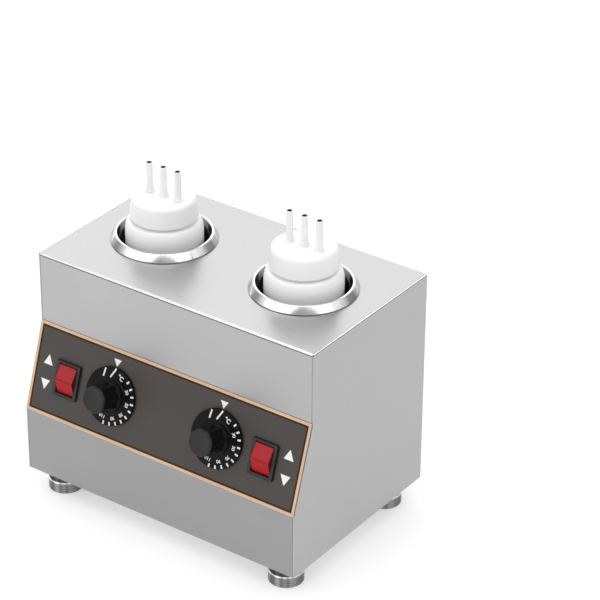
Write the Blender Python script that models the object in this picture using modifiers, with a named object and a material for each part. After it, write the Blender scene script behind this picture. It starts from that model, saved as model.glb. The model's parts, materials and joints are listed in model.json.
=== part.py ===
"""Countertop topping warmer: a steel box with two heated wells, each holding a squeeze bottle of sauce.

Units are metres and +Z is up. X is centred on the box, Y is centred on the whole object, and the feet
stand on Z = 0. The front, with the sloped control panel, faces -Y.
"""

import math

import bmesh
import bpy
from mathutils import Matrix, Vector

# Clearances
GAP = 0.0003                   # between pieces that touch
OVERRUN = 0.002                # how far a cutter passes through what it cuts
WELD = 0.00001

# Box of sheet steel
BODY_WIDTH = 0.284
TOP_DEPTH = 0.163              # upper front to back
SLOPE_RUN = 0.0252             # how far the lower front stands before the upper front
LOWER_FRONT_HEIGHT = 0.0598
SLOPE_RISE = 0.0757
UPPER_FRONT_HEIGHT = 0.0661
SHEET = 0.0010
TOP_BEND_RADIUS = 0.0020       # outer radius of the bend along the top's front edge
FOLD_RADIUS = 0.0012           # outer radius of the two folds that make the slope
REAR_FLANGE = 0.014            # inward flange of a side sheet, behind the rear panel
BOTTOM_FLANGE = 0.034          # inward flange of a side sheet, over the base plate

# Feet, from the floor up
FOOT_HEIGHT = 0.0214           # floor to the underside of the box
FOOT_INSET_X = 0.023           # from a side of the box to the foot's axis
FOOT_INSET_Y = 0.0216          # from the lower front, and from the back
FOOT_SHOE_RADIUS = 0.0154
FOOT_SHOE_HEIGHT = 0.0095
FOOT_RING_HEIGHT = 0.0013      # the bright bevel between shoe and stem
FOOT_STEM_RADIUS = 0.0148
FOOT_CHAMFER = 0.0006
FOOT_RECESS_MARGIN = 0.0014    # between the bolt's head and the recess round it
BOLT_HEAD_SINK = 0.0016        # floor to the underside of the bolt's head
BOLT_RADIUS = 0.0030
BOLT_HEAD_RADIUS = 0.0056
BOLT_HEAD_HEIGHT = 0.0034
BOLT_END = 0.0010              # bolt standing out of its nut
NUT_ACROSS_FLATS = 0.0100
NUT_HEIGHT = 0.0050

# Wells and what is round them
WELL_SIDE = 0.0692             # from a side of the box to the well's axis
WELL_FROM_FRONT = 0.0835       # upper front to the wells' axes
WELL_MARGIN = 0.0047           # between the bottle and the well's wall
WELL_FLOOR_HEIGHT = 0.0411     # above the box's underside
WELL_WALL = 0.0008
WELL_FLANGE_WIDTH = 0.0045
WELL_CORNER = 0.0050
COLLAR_CLEARANCE = 0.0005      # between the well's flange and the collar's rim
COLLAR_MOUTH_MARGIN = 0.0023   # how far the collar's mouth stands back from the well's wall
COLLAR_HEIGHT = 0.0066
COLLAR_FOOT_WIDTH = 0.0024     # the collar's outer rim, which stands on the top sheet
COLLAR_LIP = 0.0009            # rounding of the collar's upper edge
COLLAR_EDGE = 0.0006           # height of the collar's outer edge
BAND_THICKNESS = 0.0025
BAND_HEIGHT = 0.050
BAND_ABOVE_FLOOR = 0.014
BAND_SLOT = 0.006
INSULATION_THICKNESS = 0.006
INSULATION_MARGIN = 0.004      # above and below the band
CUTOUT_RADIUS = 0.008
CUTOUT_HEIGHT = 0.009
CUTOUT_CAP_RADIUS = 0.0050
CUTOUT_CAP_HEIGHT = 0.0030

# Squeeze bottles
BOTTLE_RADIUS = 0.0335
BOTTLE_WALL = 0.0016
BOTTLE_BASE_CORNER = 0.0040
SHOULDER_START = 0.0090        # top sheet to the shoulder's lower edge
SHOULDER_HEIGHT = 0.0105
SHOULDER_WIDTH = 0.0043        # how far the shoulder draws in
NECK_STEP = 0.0034             # from the shoulder's upper edge in to the neck
NECK_SHOWN = 0.0029            # between shoulder and cap
CAP_HEIGHT = 0.0182
CAP_WALL = 0.0037              # from the neck to the outside of the cap's lower edge
CAP_TAPER = 0.0020             # how much less the cap's radius is at its top
CAP_EDGE_RADIUS = 0.0034
CAP_ROOF = 0.0020
SEAL_THICKNESS = 0.0015
SEAL_WIDTH = 0.0018             # how far the seal reaches in over the neck
SPOUTS = 3
SPOUT_SPACING = 0.0150
SPOUT_HEIGHT = 0.0269
SPOUT_RADIUS = 0.0032
SPOUT_TIP_RADIUS = 0.0030
SPOUT_BORE_RADIUS = 0.0022
SPOUT_BASE_RADIUS = 0.0047
SPOUT_BASE_HEIGHT = 0.0026

# Control panel, on the slope
OVERLAY = 0.0006
OVERLAY_INSET = 0.0010         # from the sides and the folds
SWITCH_SIDE = 0.0386           # from a side of the box to the switch's middle
KNOB_FROM_SWITCH = 0.0474      # switch's middle to the knob's axis
SWITCH_DROP = 0.0016           # switch centres below the slope's middle

# Knobs, heights from the slope's steel
KNOB_RUNNING_GAP = 0.0006
SKIRT_RADIUS = 0.0256
SKIRT_THICKNESS = 0.0024
SKIRT_EDGE = 0.0008
BOSS_RADIUS = 0.0165
BOSS_HEIGHT = 0.0010
GRIP_BASE_RADIUS = 0.0136
GRIP_TIP_RADIUS = 0.0126
KNOB_TIP = 0.0275
GRIP_EDGE = 0.0010
FLUTES = 10
FLUTE_RADIUS = 0.0034
FLUTE_DEPTH = 0.0008
SHAFT_RADIUS = 0.0030
SHAFT_DEPTH_IN_KNOB = 0.0150
SHAFT_DEPTH_IN_BODY = 0.0100

# Thermostats
THERMOSTAT_WIDTH = 0.034
THERMOSTAT_DEPTH = 0.022
BUSH_RADIUS = 0.0048
BULB_RADIUS = 0.0030
BULB_LENGTH = 0.050
BULB_ABOVE_INSULATION = 0.016
CAPILLARY_RADIUS = 0.0010
CAPILLARY_REACH = 0.014        # how strongly the tube keeps its direction at its ends

# Rocker switches
BEZEL_SIDE = 0.0022            # how far the bezel reaches past the switch's body, each side
BEZEL_END = 0.0014             # and at each end
BEZEL_THICKNESS = 0.0020
BEZEL_EDGE = 0.0006
SWITCH_WALL = 0.0010           # round the pocket that the rocker tilts in
SWITCH_BODY_DEPTH = 0.0220
TAB_WIDTH = 0.0063
TAB_THICKNESS = 0.0008
TAB_LENGTH = 0.0080
TAB_SPACING = 0.0120
ROCKER_WIDTH = 0.0184
ROCKER_LENGTH = 0.0246
ROCKER_RIDGE = 0.0075          # ridge above the slope's steel
ROCKER_END = 0.0020            # ends above it, when the rocker is level
ROCKER_PIVOT = -0.0030
ROCKER_SKIRT = 0.0040          # how far the rocker's end faces go down
ROCKER_BELLY = 0.0062          # the rocker's lowest point, below its pivot
ROCKER_SIDE_GAP = 0.0004
ROCKER_END_GAP = 0.0010
ROCKER_FLOOR_GAP = 0.0010
ROCKER_EDGE = 0.0005
ROCKER_TILT = math.radians(5)  # at rest the lower end is pressed in

# Rear and base
VENT_WIDTH = 0.004
VENT_HEIGHT = 0.030
VENT_PITCH = 0.012
REAR_VENTS = 9
BASE_VENTS = 5
REAR_VENT_FROM_TOP = 0.040     # top sheet to the vents' middle
REAR_SCREW_FROM_END = 0.028    # rear screws from the box's top and underside
SCREW_RADIUS = 0.0015
SCREW_HEAD_RADIUS = 0.0030
SCREW_HEAD_HEIGHT = 0.0018
SCREW_LENGTH = 0.0080
GLAND_SIDE = 0.050             # from the right side of the box
GLAND_Z = 0.032                # above the box's underside
GLAND_BORE_RADIUS = 0.0042
GLAND_THREAD_RADIUS = 0.0078
GLAND_FLANGE_RADIUS = 0.0110
GLAND_REACH = 0.0130           # behind the rear panel
GLAND_FLANGE_THICKNESS = 0.0045
GLAND_DOME_RADIUS = 0.0088
GLAND_NUT_RADIUS = 0.0110
GLAND_NUT_THICKNESS = 0.0040
BLOCK_WIDTH = 0.042
BLOCK_DEPTH = 0.020
BLOCK_HEIGHT = 0.015
BLOCK_SIDE = 0.092             # right side of the box to the block's middle
BLOCK_FROM_BACK = 0.026        # back of the box to the block's middle
BLOCK_SCREWS = 3
BLOCK_SCREW_PITCH = 0.012
BLOCK_SCREW_RADIUS = 0.0024
BLOCK_SCREW_DEPTH = 0.0060
STUD_FROM_BLOCK = 0.014        # between the block's end and the stud's axis
STUD_RADIUS = 0.0025
STUD_HEIGHT = 0.0140
STUD_NUT_RADIUS = 0.0048
STUD_NUT_HEIGHT = 0.0040
WIRE_RADIUS = 0.0011
WIRE_FLOOR_CLEARANCE = 0.008   # wires' middle above the base plate
WIRE_REACH = 0.040              # how strongly a wire keeps its direction at its ends
WIRE_STRAIGHT = 0.003          # straight length out of each end

# Segments round a circle
WELL_STEPS = 30
KNOB_STEPS = 32
FOOT_STEPS = 20
SPOUT_STEPS = 10
SMALL_STEPS = 12
SCREW_STEPS = 8
WIRE_POINTS = 9
SHOULDER_STEPS = 3
CORNER_STEPS = 2
SHARP_ANGLE = math.radians(35)

# Worked out: the box
SLOPE_LENGTH = math.hypot(SLOPE_RUN, SLOPE_RISE)
SLOPE_TILT = math.atan2(SLOPE_RUN, SLOPE_RISE)        # of the slope from the vertical
KNOB_REACH = KNOB_TIP * math.cos(SLOPE_TILT) + (GRIP_TIP_RADIUS - GRIP_EDGE) * math.sin(SLOPE_TILT)
FRONT_REACH = SLOPE_RUN / 2 + KNOB_REACH              # of a knob before the upper front
UPPER_FRONT_Y = (FRONT_REACH - TOP_DEPTH - GLAND_REACH) / 2
LOWER_FRONT_Y = UPPER_FRONT_Y - SLOPE_RUN
REAR_Y = UPPER_FRONT_Y + TOP_DEPTH
BASE_Z = FOOT_HEIGHT
LOWER_FOLD_Z = BASE_Z + LOWER_FRONT_HEIGHT
UPPER_FOLD_Z = LOWER_FOLD_Z + SLOPE_RISE
TOP_Z = UPPER_FOLD_Z + UPPER_FRONT_HEIGHT
INNER_X = BODY_WIDTH / 2 - SHEET                      # inner face of a side sheet
BETWEEN_SIDES = 2 * (INNER_X - GAP)                   # what fits between the side sheets
WELL_X = BODY_WIDTH / 2 - WELL_SIDE
SWITCH_X = BODY_WIDTH / 2 - SWITCH_SIDE
KNOB_X = SWITCH_X - KNOB_FROM_SWITCH
GLAND_X = BODY_WIDTH / 2 - GLAND_SIDE
BLOCK_X = BODY_WIDTH / 2 - BLOCK_SIDE
STUD_X = BLOCK_X - BLOCK_WIDTH / 2 - STUD_FROM_BLOCK
INNER_FRONT_Y = LOWER_FRONT_Y + SHEET + GAP
INNER_REAR_Y = REAR_Y - SHEET - GAP
BASE_TOP_Z = BASE_Z + SHEET
SLOPE_MIDDLE = Vector((0, LOWER_FRONT_Y + SLOPE_RUN / 2, LOWER_FOLD_Z + SLOPE_RISE / 2))
UP_SLOPE = Vector((0, math.sin(SLOPE_TILT), math.cos(SLOPE_TILT)))
OUT_OF_SLOPE = Vector((0, -math.cos(SLOPE_TILT), math.sin(SLOPE_TILT)))

# Worked out: feet
FOOT_RECESS_RADIUS = BOLT_HEAD_RADIUS + FOOT_RECESS_MARGIN
FOOT_RECESS_DEPTH = BOLT_HEAD_HEIGHT + BOLT_HEAD_SINK

# Worked out: wells and bottles
WELL_Y = UPPER_FRONT_Y + WELL_FROM_FRONT
WELL_RADIUS = BOTTLE_RADIUS + WELL_MARGIN             # inside
WELL_OUTER_RADIUS = WELL_RADIUS + WELL_WALL
WELL_FLANGE_RADIUS = WELL_OUTER_RADIUS + WELL_FLANGE_WIDTH
COLLAR_RADIUS = WELL_FLANGE_RADIUS + COLLAR_CLEARANCE + COLLAR_FOOT_WIDTH
COLLAR_MOUTH_RADIUS = WELL_RADIUS + COLLAR_MOUTH_MARGIN
WELL_FLOOR_Z = BASE_Z + WELL_FLOOR_HEIGHT
WELL_SEAT_Z = TOP_Z + GAP
WELL_FLANGE_TOP_Z = WELL_SEAT_Z + WELL_WALL
WELL_HOLE_RADIUS = WELL_OUTER_RADIUS + GAP
BAND_RADIUS = WELL_OUTER_RADIUS + GAP                 # inside
BAND_Z = WELL_FLOOR_Z + BAND_ABOVE_FLOOR
BOTTLE_Z = WELL_FLOOR_Z + GAP
BOTTLE_INNER_RADIUS = BOTTLE_RADIUS - BOTTLE_WALL
SHOULDER_TOP = SHOULDER_START + SHOULDER_HEIGHT       # above the top sheet
SHOULDER_TOP_RADIUS = BOTTLE_RADIUS - SHOULDER_WIDTH
NECK_RADIUS = SHOULDER_TOP_RADIUS - NECK_STEP
CAP_BOTTOM = SHOULDER_TOP + NECK_SHOWN                # above the top sheet
CAP_TOP = CAP_BOTTOM + CAP_HEIGHT
CAP_BOTTOM_RADIUS = NECK_RADIUS + CAP_WALL
CAP_TOP_RADIUS = CAP_BOTTOM_RADIUS - CAP_TAPER
SEAL_BORE_RADIUS = NECK_RADIUS - SEAL_WIDTH
NECK_INNER_RADIUS = NECK_RADIUS - BOTTLE_WALL
CAP_BORE_RADIUS = NECK_RADIUS + GAP
CAP_CEILING_Z = TOP_Z + CAP_TOP - CAP_ROOF
SEAL_TOP_Z = CAP_CEILING_Z - GAP
NECK_TOP_Z = SEAL_TOP_Z - SEAL_THICKNESS - GAP

# Worked out: heights from the slope's steel, in the panel's own frame
OVERLAY_FACE = GAP + OVERLAY
BEZEL_BACK = OVERLAY_FACE + GAP
BEZEL_FACE = BEZEL_BACK + BEZEL_THICKNESS
KNOB_BACK = OVERLAY_FACE + KNOB_RUNNING_GAP
SKIRT_FACE = KNOB_BACK + SKIRT_THICKNESS
THERMOSTAT_FACE = -SHEET - GAP
THERMOSTAT_BACK = THERMOSTAT_FACE - THERMOSTAT_DEPTH
SWITCH_BACK = BEZEL_BACK - SWITCH_BODY_DEPTH
POCKET_WIDTH = ROCKER_WIDTH + 2 * ROCKER_SIDE_GAP
POCKET_HEIGHT = ROCKER_LENGTH + 2 * ROCKER_END_GAP
POCKET_FLOOR = ROCKER_PIVOT - ROCKER_BELLY - ROCKER_FLOOR_GAP
SWITCH_BODY_WIDTH = POCKET_WIDTH + 2 * SWITCH_WALL
SWITCH_BODY_HEIGHT = POCKET_HEIGHT + 2 * SWITCH_WALL
BEZEL_WIDTH = SWITCH_BODY_WIDTH + 2 * BEZEL_SIDE
BEZEL_HEIGHT = SWITCH_BODY_HEIGHT + 2 * BEZEL_END
BUSH_HOLE_RADIUS = BUSH_RADIUS + GAP
SHAFT_BORE_RADIUS = SHAFT_RADIUS + GAP
CUTOUT_WIDTH = SWITCH_BODY_WIDTH + 2 * GAP
CUTOUT_LENGTH = SWITCH_BODY_HEIGHT + 2 * GAP

# Colours, roughness and metallic values
STEEL = ("brushed_steel", (0.72, 0.72, 0.74), 0.36, 1.0)
POLISHED = ("polished_steel", (0.80, 0.80, 0.82), 0.16, 1.0)
ZINC = ("zinc_plated_steel", (0.62, 0.63, 0.64), 0.35, 1.0)
PANEL = ("printed_panel", (0.085, 0.075, 0.070), 0.42, 0.0)
BLACK = ("black_plastic", (0.018, 0.018, 0.019), 0.40, 0.0)
RED = ("red_plastic", (0.50, 0.030, 0.035), 0.35, 0.0)
WHITE = ("white_plastic", (0.88, 0.88, 0.87), 0.45, 0.0)
SILICONE = ("seal_silicone", (0.70, 0.68, 0.62), 0.60, 0.0)
MICA = ("heater_band", (0.45, 0.38, 0.28), 0.55, 0.3)
WOOL = ("insulation", (0.70, 0.68, 0.60), 0.95, 0.0)
COPPER = ("copper", (0.72, 0.38, 0.24), 0.35, 1.0)
CERAMIC = ("cream_plastic", (0.70, 0.66, 0.55), 0.55, 0.0)
WIRE_RED = ("wire_red", (0.45, 0.06, 0.05), 0.55, 0.0)

SIDES = {"left": -1, "right": 1}
FORWARD = Vector((0, -1, 0))
UPWARD = Vector((0, 0, 1))


def clear_scene():
    """Leave nothing from an earlier run."""
    for old in list(bpy.data.objects):
        bpy.data.objects.remove(old, do_unlink=True)
    for old in list(bpy.data.collections):
        bpy.data.collections.remove(old)


def new_collection(name):
    made = bpy.data.collections.new(name)
    bpy.context.scene.collection.children.link(made)
    return made


def material(look):
    """The Principled material of one look, made once."""
    name, colour, roughness, metallic = look
    made = bpy.data.materials.get(name)
    if made is None:
        made = bpy.data.materials.new(name)
        made.use_nodes = True
        shader = made.node_tree.nodes["Principled BSDF"]
        shader.inputs["Base Color"].default_value = (*colour, 1)
        shader.inputs["Roughness"].default_value = roughness
        shader.inputs["Metallic"].default_value = metallic
        made.diffuse_color = (*colour, 1)
    return made


def add(name, data, look, parent=None):
    """A named object of the model."""
    made = bpy.data.objects.new(name, data)
    if look is not None:
        data.materials.append(material(look))
    parts.objects.link(made)
    made.parent = parent
    return made


def as_tool(made):
    """Move an object to the cutters, which aren't part of the model."""
    parts.objects.unlink(made)
    cutters.objects.link(made)
    made.hide_render = True
    made.display_type = "WIRE"
    return made


def frame_empty(name, location, rotation=(0, 0, 0), parent=None):
    """An empty that pieces are placed by."""
    made = bpy.data.objects.new(name, None)
    parts.objects.link(made)
    made.parent = parent
    made.location = location
    made.rotation_euler = rotation
    return made


def box(name, size, centre, look=None, parent=None):
    """A box of that size round its own origin, which stands at its centre."""
    form = bmesh.new()
    bmesh.ops.create_cube(form, size=1)
    bmesh.ops.scale(form, vec=Vector(size), verts=form.verts)
    mesh = bpy.data.meshes.new(name)
    form.to_mesh(mesh)
    form.free()
    made = add(name, mesh, look, parent)
    made.location = centre
    return made


def cylinder(name, radius, low, high, steps, centre=(0, 0), look=None, parent=None, tip_radius=None):
    """A cylinder or cone along the parent's Z, from low to high."""
    form = bmesh.new()
    top = radius if tip_radius is None else tip_radius
    bmesh.ops.create_cone(form, cap_ends=True, segments=steps, radius1=radius, radius2=top, depth=high - low)
    mesh = bpy.data.meshes.new(name)
    form.to_mesh(mesh)
    form.free()
    mesh.shade_smooth()
    mesh.set_sharp_from_angle(angle=SHARP_ANGLE)
    made = add(name, mesh, look, parent)
    made.location = (centre[0], centre[1], (low + high) / 2)
    return made


def turned(name, profile, steps, look=None, parent=None, closed=True):
    """A turned shape: (radius, height) points, down the outer side and up the inner side."""
    mesh = bpy.data.meshes.new(name)
    count = len(profile)
    edges = [(i, i + 1) for i in range(count - 1)]
    if closed:
        edges.append((count - 1, 0))
    mesh.from_pydata([(radius, 0, height) for radius, height in profile], edges, [])
    made = add(name, mesh, look, parent)
    screw = made.modifiers.new("turn", "SCREW")
    screw.axis = "Z"
    screw.angle = math.tau
    screw.steps = steps
    screw.render_steps = steps
    screw.use_merge_vertices = True
    screw.merge_threshold = WELD
    screw.use_smooth_shade = True
    screw.use_normal_calculate = False
    return made


def flat_shape(name, outline, holes, thickness, look=None, parent=None):
    """A flat sheet in the parent's XY plane, centred on it: an outline with holes through it."""
    curve = bpy.data.curves.new(name, "CURVE")
    curve.dimensions = "2D"
    curve.fill_mode = "BOTH"
    curve.extrude = thickness / 2
    for loop in [outline, *holes]:
        spline = curve.splines.new("POLY")
        spline.points.add(len(loop) - 1)
        for point, (x, y) in zip(spline.points, loop):
            point.co = (x, y, 0, 1)
        spline.use_cyclic_u = True
    return add(name, curve, look, parent)


def as_mesh(made):
    """Turn a curve object into a mesh object whose caps are welded, in the same place."""
    bpy.context.view_layer.update()
    name, parent, place = made.name, made.parent, made.matrix_world.copy()
    looks = list(made.data.materials)
    mesh = bpy.data.meshes.new_from_object(made.evaluated_get(bpy.context.evaluated_depsgraph_get()))
    bpy.data.objects.remove(made)
    form = bmesh.new()
    form.from_mesh(mesh)
    bmesh.ops.remove_doubles(form, verts=form.verts, dist=WELD)
    form.to_mesh(mesh)
    form.free()
    mesh.materials.clear()
    for look in looks:
        mesh.materials.append(look)
    solid = bpy.data.objects.new(name, mesh)
    parts.objects.link(solid)
    solid.parent = parent
    bpy.context.view_layer.update()
    solid.matrix_world = place
    return solid


def combine(made, tool, operation):
    """Cut a piece by a tool, or join the tool to it."""
    modifier = made.modifiers.new(operation.lower(), "BOOLEAN")
    modifier.operation = operation
    modifier.solver = "EXACT"
    modifier.object = as_tool(tool)
    return made


def cut(made, tool):
    return combine(made, tool, "DIFFERENCE")


def join(made, tool):
    return combine(made, tool, "UNION")


def bevel(made, width, segments=1):
    modifier = made.modifiers.new("edges", "BEVEL")
    modifier.width = width
    modifier.segments = segments
    modifier.limit_method = "ANGLE"
    return made


def circle(radius, steps, centre=(0, 0)):
    """Points round a circle, the first on +X."""
    turns = [math.tau * i / steps for i in range(steps)]
    return [(centre[0] + radius * math.cos(t), centre[1] + radius * math.sin(t)) for t in turns]


def rectangle(width, height, centre=(0, 0)):
    left, right = centre[0] - width / 2, centre[0] + width / 2
    low, high = centre[1] - height / 2, centre[1] + height / 2
    return [(left, low), (right, low), (right, high), (left, high)]


def slot(width, height, centre, steps=2):
    """An upright slot with round ends."""
    radius, straight = width / 2, (height - width) / 2
    points = []
    for end, start in ((1, 0), (-1, math.pi)):
        for i in range(steps + 1):
            t = start + math.pi * i / steps
            x = centre[0] + radius * math.cos(t)
            y = centre[1] + end * straight + radius * math.sin(t)
            points.append((x, y))
    return points


def arc(centre, radius, start, end, steps):
    """Points along an arc, angles in radians."""
    turns = [start + (end - start) * i / steps for i in range(steps + 1)]
    return [(centre[0] + radius * math.cos(t), centre[1] + radius * math.sin(t)) for t in turns]


def bend(corner, before, after, radius, steps):
    """Points that round a corner of an outline, between the points before and after it."""
    corner, before, after = Vector(corner), Vector(before), Vector(after)
    in_way, out_way = (before - corner).normalized(), (after - corner).normalized()
    half = in_way.angle(out_way) / 2
    centre = corner + (in_way + out_way).normalized() * radius / math.sin(half)
    start = corner + in_way * radius / math.tan(half) - centre
    turn = start.angle_signed(corner + out_way * radius / math.tan(half) - centre)
    points = [Matrix.Rotation(-turn * i / steps, 2) @ start + centre for i in range(steps + 1)]
    return [tuple(point) for point in points]


def curved(start, end, leaving, arriving):
    """Points along one smooth curve; the longer leaving and arriving are, the longer it keeps their ways."""
    near, far = start + leaving, end - arriving
    points = []
    for i in range(WIRE_POINTS):
        t = i / (WIRE_POINTS - 1)
        back = 1 - t
        first = start * back ** 3 + near * (3 * t * back ** 2)
        last = far * (3 * back * t ** 2) + end * t ** 3
        points.append(first + last)
    return points


def route(start, end, leaving, arriving):
    """Points of a wire: straight out of each end, and one smooth curve between."""
    first = start + leaving.normalized() * WIRE_STRAIGHT
    last = end - arriving.normalized() * WIRE_STRAIGHT
    return [start, *curved(first, last, leaving, arriving), end]


def tube(name, points, radius, look, shares=None):
    """A round tube along points; shares give each point's radius as a share of the widest."""
    curve = bpy.data.curves.new(name, "CURVE")
    curve.dimensions = "3D"
    curve.bevel_depth = radius
    curve.bevel_resolution = 2
    curve.use_fill_caps = True
    spline = curve.splines.new("POLY")
    spline.points.add(len(points) - 1)
    for i, (point, place) in enumerate(zip(spline.points, points)):
        point.co = (*place, 1)
        point.radius = 1 if shares is None else shares[i]
    return add(name, curve, look)


def front_outline():
    """The outer line of the front and top sheet, seen from +X: from its lower edge up, then back."""
    lower, fold = (LOWER_FRONT_Y, BASE_Z), (LOWER_FRONT_Y, LOWER_FOLD_Z)
    upper, edge = (UPPER_FRONT_Y, UPPER_FOLD_Z), (UPPER_FRONT_Y, TOP_Z)
    back = (REAR_Y, TOP_Z)
    return [
        lower,
        *bend(fold, lower, upper, FOLD_RADIUS, CORNER_STEPS),
        *bend(upper, fold, edge, FOLD_RADIUS, CORNER_STEPS),
        *bend(edge, upper, back, TOP_BEND_RADIUS, SHOULDER_STEPS),
        back,
    ]


def panel_point(x, up, out):
    """A place given across the slope, up it from its middle and out from its steel, in world coordinates."""
    return SLOPE_MIDDLE + Vector((x, 0, 0)) + UP_SLOPE * up + OUT_OF_SLOPE * out


def make_front_top_panel(panel):
    """Lower front, slope, upper front and top, folded from one sheet, with its holes."""
    form = bmesh.new()
    line = [form.verts.new((-BETWEEN_SIDES / 2, y, z)) for y, z in front_outline()]
    chain = [form.edges.new(pair) for pair in zip(line, line[1:])]
    swept = bmesh.ops.extrude_edge_only(form, edges=chain)["geom"]
    moved = [v for v in swept if isinstance(v, bmesh.types.BMVert)]
    bmesh.ops.translate(form, verts=moved, vec=(BETWEEN_SIDES, 0, 0))
    bmesh.ops.recalc_face_normals(form, faces=form.faces)
    form.faces.ensure_lookup_table()
    if form.faces[0].normal.y > 0:
        bmesh.ops.reverse_faces(form, faces=form.faces)
    mesh = bpy.data.meshes.new("front_top_panel")
    form.to_mesh(mesh)
    form.free()
    sheet = add("front_top_panel", mesh, STEEL)
    shell = sheet.modifiers.new("sheet", "SOLIDIFY")
    shell.thickness = SHEET
    shell.offset = -1
    shell.use_even_offset = True
    for side, sign in SIDES.items():
        hole = cylinder(f"well_hole_{side}", WELL_HOLE_RADIUS, TOP_Z - SHEET - OVERRUN, TOP_Z + OVERRUN,
                        WELL_STEPS, (sign * WELL_X, WELL_Y))
        cut(sheet, hole)
        bush = cylinder(f"bush_hole_{side}", BUSH_HOLE_RADIUS, -SHEET - OVERRUN, OVERRUN,
                        SMALL_STEPS, (sign * KNOB_X, 0), parent=panel)
        cut(sheet, bush)
        window = box(f"switch_hole_{side}", (CUTOUT_WIDTH, CUTOUT_LENGTH, SHEET + 2 * OVERRUN),
                     (sign * SWITCH_X, -SWITCH_DROP, -SHEET / 2), parent=panel)
        cut(sheet, window)
    return sheet


def make_side_panel(side):
    """A side sheet with an inward flange behind the rear panel and one over the base plate."""
    sign = SIDES[side]
    outline = [*front_outline(), (REAR_Y, BASE_Z)]
    sheet = flat_shape(f"side_panel_{side}", outline, [], SHEET, STEEL)
    sheet.rotation_euler = (math.pi / 2, 0, math.pi / 2)
    sheet.location = (sign * (BODY_WIDTH - SHEET) / 2, 0, 0)
    sheet = as_mesh(sheet)
    middle_x = (BODY_WIDTH - SHEET) / 2
    flange_z = BASE_TOP_Z + GAP + SHEET / 2
    flange_y = INNER_REAR_Y - SHEET / 2
    front_y = INNER_FRONT_Y + GAP
    bottom = box(f"bottom_flange_{side}", (BOTTOM_FLANGE, flange_y - front_y, SHEET),
                 (sign * (middle_x - BOTTOM_FLANGE / 2), (front_y + flange_y) / 2, flange_z))
    join(sheet, bottom)
    high_z = TOP_Z - SHEET - 2 * GAP
    rear = box(f"rear_flange_{side}", (REAR_FLANGE, SHEET, high_z - flange_z),
               (sign * (middle_x - REAR_FLANGE / 2), flange_y, (flange_z + high_z) / 2))
    join(sheet, rear)
    for end, y in foot_rows().items():
        hole = cylinder(f"flange_bolt_hole_{end}_{side}", BOLT_RADIUS + GAP, flange_z - OVERRUN,
                        flange_z + OVERRUN, SMALL_STEPS, (foot_x(side), y))
        cut(sheet, hole)
    for level, z in rear_screw_rows().items():
        hole = cylinder(f"flange_hole_{level}_{side}", SCREW_RADIUS + GAP, -OVERRUN, OVERRUN, SMALL_STEPS)
        hole.rotation_euler = (math.pi / 2, 0, 0)
        hole.location = (rear_screw_x(side), flange_y, z)
        cut(sheet, hole)
    return sheet


def foot_x(side):
    return SIDES[side] * (BODY_WIDTH / 2 - FOOT_INSET_X)


def foot_rows():
    """The Y of each row of feet."""
    return {"front": LOWER_FRONT_Y + FOOT_INSET_Y, "rear": REAR_Y - FOOT_INSET_Y}


def rear_screw_x(side):
    return SIDES[side] * (INNER_X - REAR_FLANGE / 2)


def rear_screw_rows():
    """The Z of each row of rear screws."""
    return {"low": BASE_Z + REAR_SCREW_FROM_END, "high": TOP_Z - REAR_SCREW_FROM_END}


def make_rear_panel():
    """The back, with a row of vents, the gland's hole and four screw holes."""
    low, high = BASE_Z, TOP_Z - SHEET - GAP
    middle = (low + high) / 2
    holes = [circle(GLAND_THREAD_RADIUS + GAP, FOOT_STEPS, (GLAND_X, BASE_Z + GLAND_Z - middle))]
    for side in SIDES:
        for z in rear_screw_rows().values():
            holes.append(circle(SCREW_RADIUS + GAP, SMALL_STEPS, (rear_screw_x(side), z - middle)))
    for i in range(REAR_VENTS):
        x = VENT_PITCH * (i - (REAR_VENTS - 1) / 2)
        holes.append(slot(VENT_WIDTH, VENT_HEIGHT, (x, TOP_Z - REAR_VENT_FROM_TOP - middle)))
    sheet = flat_shape("rear_panel", rectangle(BETWEEN_SIDES, high - low), holes, SHEET, STEEL)
    sheet.rotation_euler = (math.pi / 2, 0, 0)
    sheet.location = (0, REAR_Y - SHEET / 2, middle)
    return sheet


def make_base_plate():
    """The bottom, with vents under each well and holes for the foot bolts."""
    middle = (INNER_FRONT_Y + INNER_REAR_Y) / 2
    holes = []
    for side, sign in SIDES.items():
        for y in foot_rows().values():
            holes.append(circle(BOLT_RADIUS + GAP, SMALL_STEPS, (foot_x(side), y - middle)))
        for i in range(BASE_VENTS):
            x = sign * WELL_X + VENT_PITCH * (i - (BASE_VENTS - 1) / 2)
            holes.append(slot(VENT_WIDTH, VENT_HEIGHT, (x, WELL_Y - middle)))
    outline = rectangle(BETWEEN_SIDES, INNER_REAR_Y - INNER_FRONT_Y)
    sheet = flat_shape("base_plate", outline, holes, SHEET, STEEL)
    sheet.location = (0, middle, BASE_Z + SHEET / 2)
    return sheet


def make_control_panel(panel):
    """The dark overlay on the slope, cut out for the switches and the thermostats."""
    outline = rectangle(BODY_WIDTH - 2 * OVERLAY_INSET, SLOPE_LENGTH - 2 * OVERLAY_INSET)
    holes = []
    for sign in SIDES.values():
        holes.append(rectangle(CUTOUT_WIDTH, CUTOUT_LENGTH, (sign * SWITCH_X, -SWITCH_DROP)))
        holes.append(circle(BUSH_HOLE_RADIUS, SMALL_STEPS, (sign * KNOB_X, 0)))
    sheet = flat_shape("control_panel", outline, holes, OVERLAY, PANEL, panel)
    sheet.location = (0, 0, GAP + OVERLAY / 2)
    return sheet


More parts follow.
